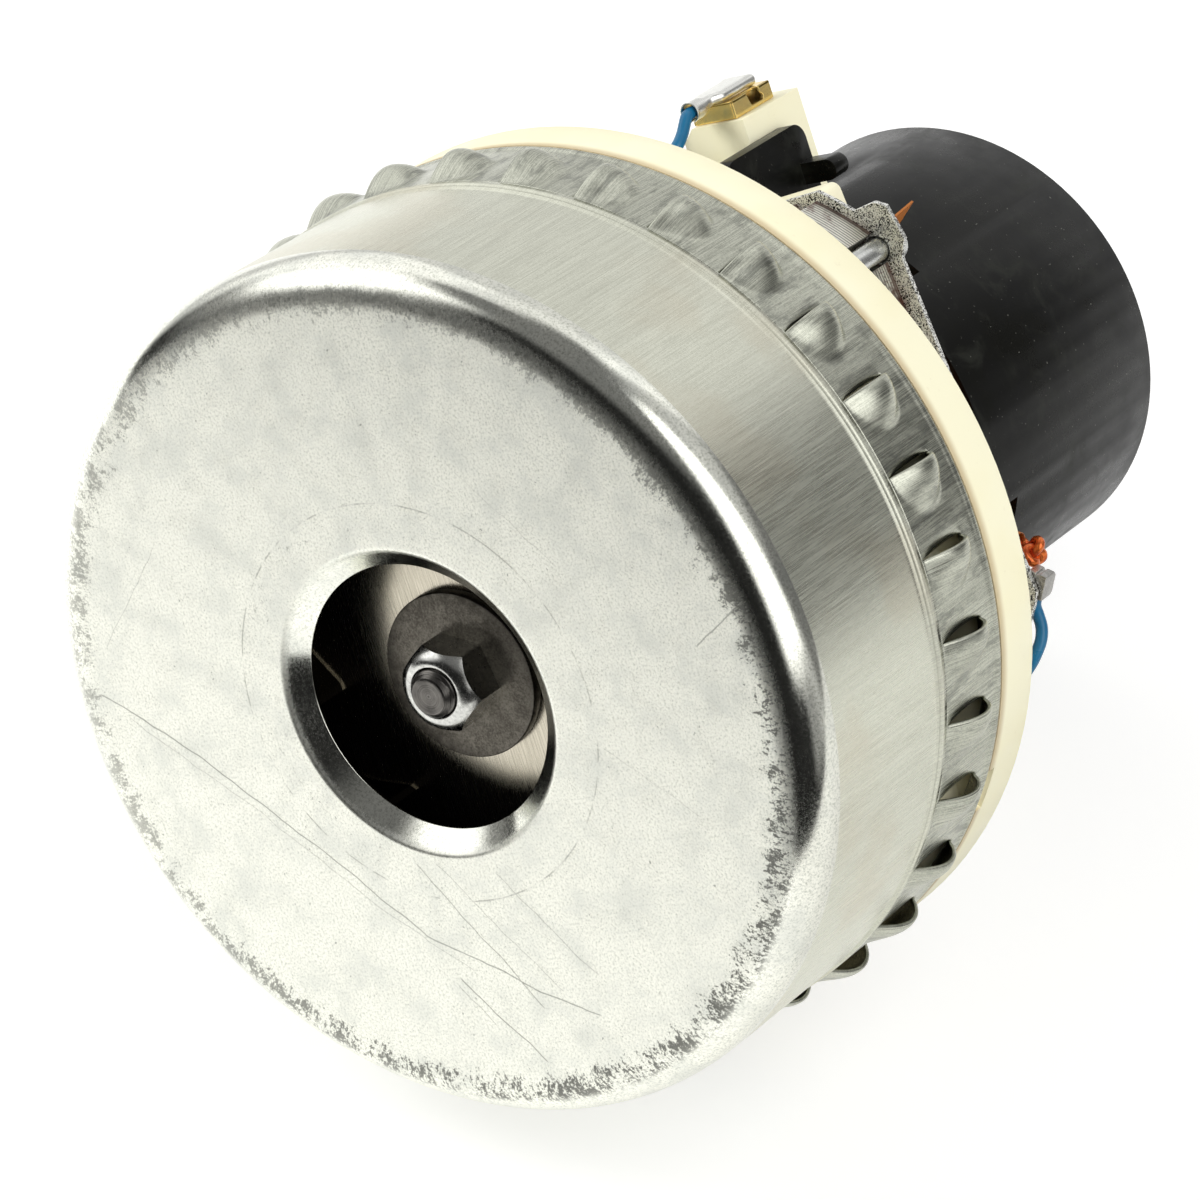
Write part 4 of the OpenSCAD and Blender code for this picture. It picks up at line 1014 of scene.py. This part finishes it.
def receptacle_sections():
    """Half cross-sections (y, x) from the middle line to the lip, with the height of each."""
    fold = [(0, 61.0), (1.4, 61.0), (2.4, 60.97), (2.95, 60.75), (3.1, 60.25), (2.95, 59.7), (2.5, 59.4),
            (1.7, 59.35), (0.9, 59.6)]
    flare = [(0, 61.05), (1.4, 61.05), (2.5, 61.05), (3.15, 60.9), (3.35, 60.3), (3.2, 59.6), (2.8, 59.3),
             (2.1, 59.25), (1.4, 59.45)]
    neck = [(0, 61.0), (0.5, 61.0), (1.0, 60.95), (1.35, 60.75), (1.5, 60.45), (1.55, 60.15), (1.55, 59.9),
            (1.55, 59.6), (1.55, 59.4)]
    middle = CRIMP_X + 0.1
    bend = [math.radians(21.5 * k) for k in range(9)]
    barrel = [(1.6 * math.sin(a), middle + 1.6 * math.cos(a)) for a in bend]
    wide = [(y * 1.14, middle + (x - middle) * 1.14) for y, x in barrel]
    return [
        (wide, 113.1), (barrel, 113.5), (barrel, 114.4), (barrel, 115.4), (barrel, 116.2), (neck, 117.0),
        (neck, 118.0), (fold, 119.4), (fold, 120.4), (fold, 122.6), (fold, 125.0), (fold, 127.6),
        (flare, 128.6), (flare, 129.2),
    ]


def build_receptacle(tag, turn):
    points = []
    sections = receptacle_sections()
    for half, z in sections:
        points += [(x, -y, z) for y, x in reversed(half[1:])]
        points += [(x, y, z) for y, x in half]
    wide = 2 * len(sections[0][0]) - 1
    faces = grid_faces(len(sections), wide, flip=True)
    sheet = new_piece("receptacle_sheet_" + tag, points, faces, TINNED, slot="tinned_sheet", turn=turn)
    thicken(sheet, 0.32, 0.0)
    subdivide(sheet, 2)
    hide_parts("receptacle_" + tag)


def build_tube(tag, turn):
    """Brass tube round the brush; its side walls have an open window near the end."""
    wall = 0.5
    w = TUBE_HALF_W
    low = BRUSH_Z - TUBE_HALF_H
    high = BRUSH_Z + TUBE_HALF_H
    across = [(TUBE_X0, -w), (TUBE_END, -w), (TUBE_END, w), (TUBE_X0, w)]
    side = [
        (TUBE_X0, low), (TUBE_END, low), (TUBE_END, BRUSH_Z - 0.6), (57.0, BRUSH_Z - 0.6),
        (56.5, BRUSH_Z - 0.1), (56.5, BRUSH_Z + 3.4), (57.0, BRUSH_Z + 3.9), (TUBE_END, BRUSH_Z + 3.9),
        (TUBE_END, high), (TUBE_X0, high),
    ]
    parts = [plate(across, low, low + wall, 2), plate(across, high - wall, high, 2)]
    parts += [plate(side, y, y + wall, 1) for y in (-w, w - wall)]
    made = new_piece("tube_sheet_" + tag, *joined(parts), BRASS, slot="brass_sheet", turn=turn)
    round_edges(made, 0.1)
    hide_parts("brush_tube_" + tag)


def build_clip(tag, turn):
    """Folded clip round the end of the tube."""
    sheet = 0.5
    out = TUBE_HALF_W + 0.72
    z0 = BRUSH_Z - TUBE_HALF_H - 0.45
    z1 = BRUSH_Z + TUBE_HALF_H + 0.45
    x0 = TOWER_X + 0.05
    x1 = TUBE_END + 0.62
    inside = out - sheet
    apron = [(x0, -inside), (x1 - 0.1, -inside), (x1 - 0.1, inside), (x0, inside)]
    cheek = [
        (x0, z0), (x1, z0), (x1, BRUSH_Z - 1.4), (57.6, BRUSH_Z - 1.0), (56.7, BRUSH_Z - 0.6),
        (56.7, BRUSH_Z + 3.0), (57.5, BRUSH_Z + 3.2), (57.9, BRUSH_Z + 2.6), (x1, BRUSH_Z + 2.4), (x1, z1),
        (x0, z1),
    ]
    end = [(-out, z0), (out, z0), (out, BRUSH_Z - 1.4), (out - 1.3, BRUSH_Z - 1.2),
           (out - 1.3, BRUSH_Z + 2.2), (out, BRUSH_Z + 2.4), (out, z1), (-out, z1)]
    parts = [plate(apron, z0, z0 + 0.42, 2), plate(apron, z1 - 0.42, z1, 2), plate(end, x1 - sheet, x1, 0)]
    parts += [plate(cheek, -out, -inside, 1), plate(cheek, inside, out, 1)]
    clip = new_piece("clip_sheet_" + tag, *joined(parts), BRASS, slot="brass_sheet", turn=turn)
    round_edges(clip, 0.14)
    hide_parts("brush_clip_" + tag)


def helix(start, end, turns):
    """Path of spring wire wound along X inside the brush tube."""
    steps = 24
    count = steps * turns
    out = []
    for i in range(count + 1):
        a = 2 * math.pi * i / steps
        x = start + (end - start) * i / count
        out.append(Vector((x, SPRING_R * math.cos(a), BRUSH_Z + SPRING_R * math.sin(a))))
    return out


def build_spring(tag, turn):
    """Open turns with a mesh of their own, and closed end turns in the clip's window."""
    end_turns = tube(helix(SPRING_FIXED, 58.2, 3), SPRING_WIRE, 10)
    open_turns = tube(helix(SPRING_X0 + SPRING_WIRE, SPRING_FIXED, 7), SPRING_WIRE, 10)
    closed = new_piece("spring_end_" + tag, *end_turns, SPRING_STEEL, slot="spring_steel", turn=turn)
    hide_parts("brush_spring_" + tag)
    coil = new_piece("spring_coil_" + tag, *open_turns, SPRING_STEEL, slot="spring_steel", turn=turn)
    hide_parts("brush_spring_" + tag)
    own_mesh(coil)


def build_coil_wire(tag, turn):
    """Twisted wires that leave the coil in an amber sleeve and end in a knot."""
    exit_angle = turn + 115.5
    height = PLATE_Z + 4.6
    strands = 4
    twist_r = 1.15
    knot_x = 50.4
    knot_r = 0.72
    parts = []
    for strand in range(strands):
        knots = []
        for i in range(15):
            along = COIL_R - 0.5 + 13.2 * i / 14
            a = 2 * math.pi * (strand / strands + i / 9)
            knots.append((along, twist_r * math.cos(a), height + twist_r * math.sin(a)))
        parts.append(tube(smooth_path(knots, 3), 0.8, 10))
    knot = []
    for i in range(96):
        t = 2 * math.pi * i / 96
        knot.append(Vector((
            knot_x - 0.9 * math.sin(3 * t),
            knot_r * (math.sin(t) + 2 * math.sin(2 * t)),
            height + knot_r * (math.cos(t) - 2 * math.cos(2 * t)),
        )))
    parts.append(tube(knot, 0.85, 10, closed=True))
    wires = new_piece("coil_wire_" + tag, *joined(parts), ENAMEL, slot="copper_wire", turn=exit_angle)
    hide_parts("lead_out_" + tag)
    sleeve = []
    for i in range(9):
        x = COIL_R + 0.6 + 10.4 * i / 8
        r = 2.2 + 0.35 * (i / 8) ** 2
        for k in range(13):
            a = math.radians(-20 + 220 * k / 12)
            sleeve.append((x, r * math.cos(a), height + r * math.sin(a)))
    faces = grid_faces(9, 13)
    film = new_piece("wire_sleeve_" + tag, sleeve, faces, PAPER, slot="amber_paper", turn=exit_angle)
    thicken(film, 0.2, 0.0)
    subdivide(film)


def build_splice(tag, turn):
    """Folded crimp with cut corners between the coil wire and the blue lead."""
    r0 = STACK_R - 1.2
    outline = [(-4.6, 101.1), (0.0, 101.1), (0.0, 104.2), (-0.6, 104.7), (-3.8, 104.7), (-4.6, 104.0)]
    inner = [(-4.4, 101.1), (-0.4, 101.1), (-0.4, 103.4), (-1.0, 103.9), (-3.4, 103.9), (-4.4, 103.2)]
    layers = joined([
        plate(outline, r0 + 1.95, r0 + 3.4, 0),
        plate(inner, r0 + 1.3, r0 + 2.1, 0),
        plate(outline, r0, r0 + 1.45, 0),
    ])
    made = new_piece("splice_fold_" + tag, *layers, PLAIN_STEEL, slot="tinned_sheet", turn=turn - 58.6)
    round_edges(made, 0.18)
    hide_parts("lead_splice_" + tag)


def build_paper(tag, turn):
    """Creased amber paper beside the stack bolt."""
    inner_r = 39.5
    outline = [(inner_r, 101.2), (46.5, 101.2), (48.0, 105.5), (53.2, 105.5), (54.6, 112.3), (50.8, 112.3),
               (44.0, 108.5), (inner_r, 107.2)]
    points = []
    for x, z in outline:
        crease = 0.5 * math.sin((x - inner_r) * 0.55)
        points += [(x, crease - 0.18, z), (x, crease + 0.18, z)]
    count = len(outline)
    faces = [tuple(2 * i for i in range(count)), tuple(2 * i + 1 for i in range(count))[::-1]]
    faces += [(2 * i, 2 * i + 1, 2 * ((i + 1) % count) + 1, 2 * ((i + 1) % count)) for i in range(count)]
    made = new_piece("paper_fold_" + tag, points, faces, PAPER, slot="amber_paper", turn=turn + 44.5)
    split_edges(made, 30)
    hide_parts("paper_tip_" + tag)


build_can()
build_shaft()
build_nut()
for tag, turn in (("a", 0.0), ("b", 180.0)):
    build_lead(tag, turn)
    build_receptacle(tag, turn)
    build_tube(tag, turn)
    build_clip(tag, turn)
    build_spring(tag, turn)
    build_coil_wire(tag, turn)
    build_splice(tag, turn)
    build_paper(tag, turn)
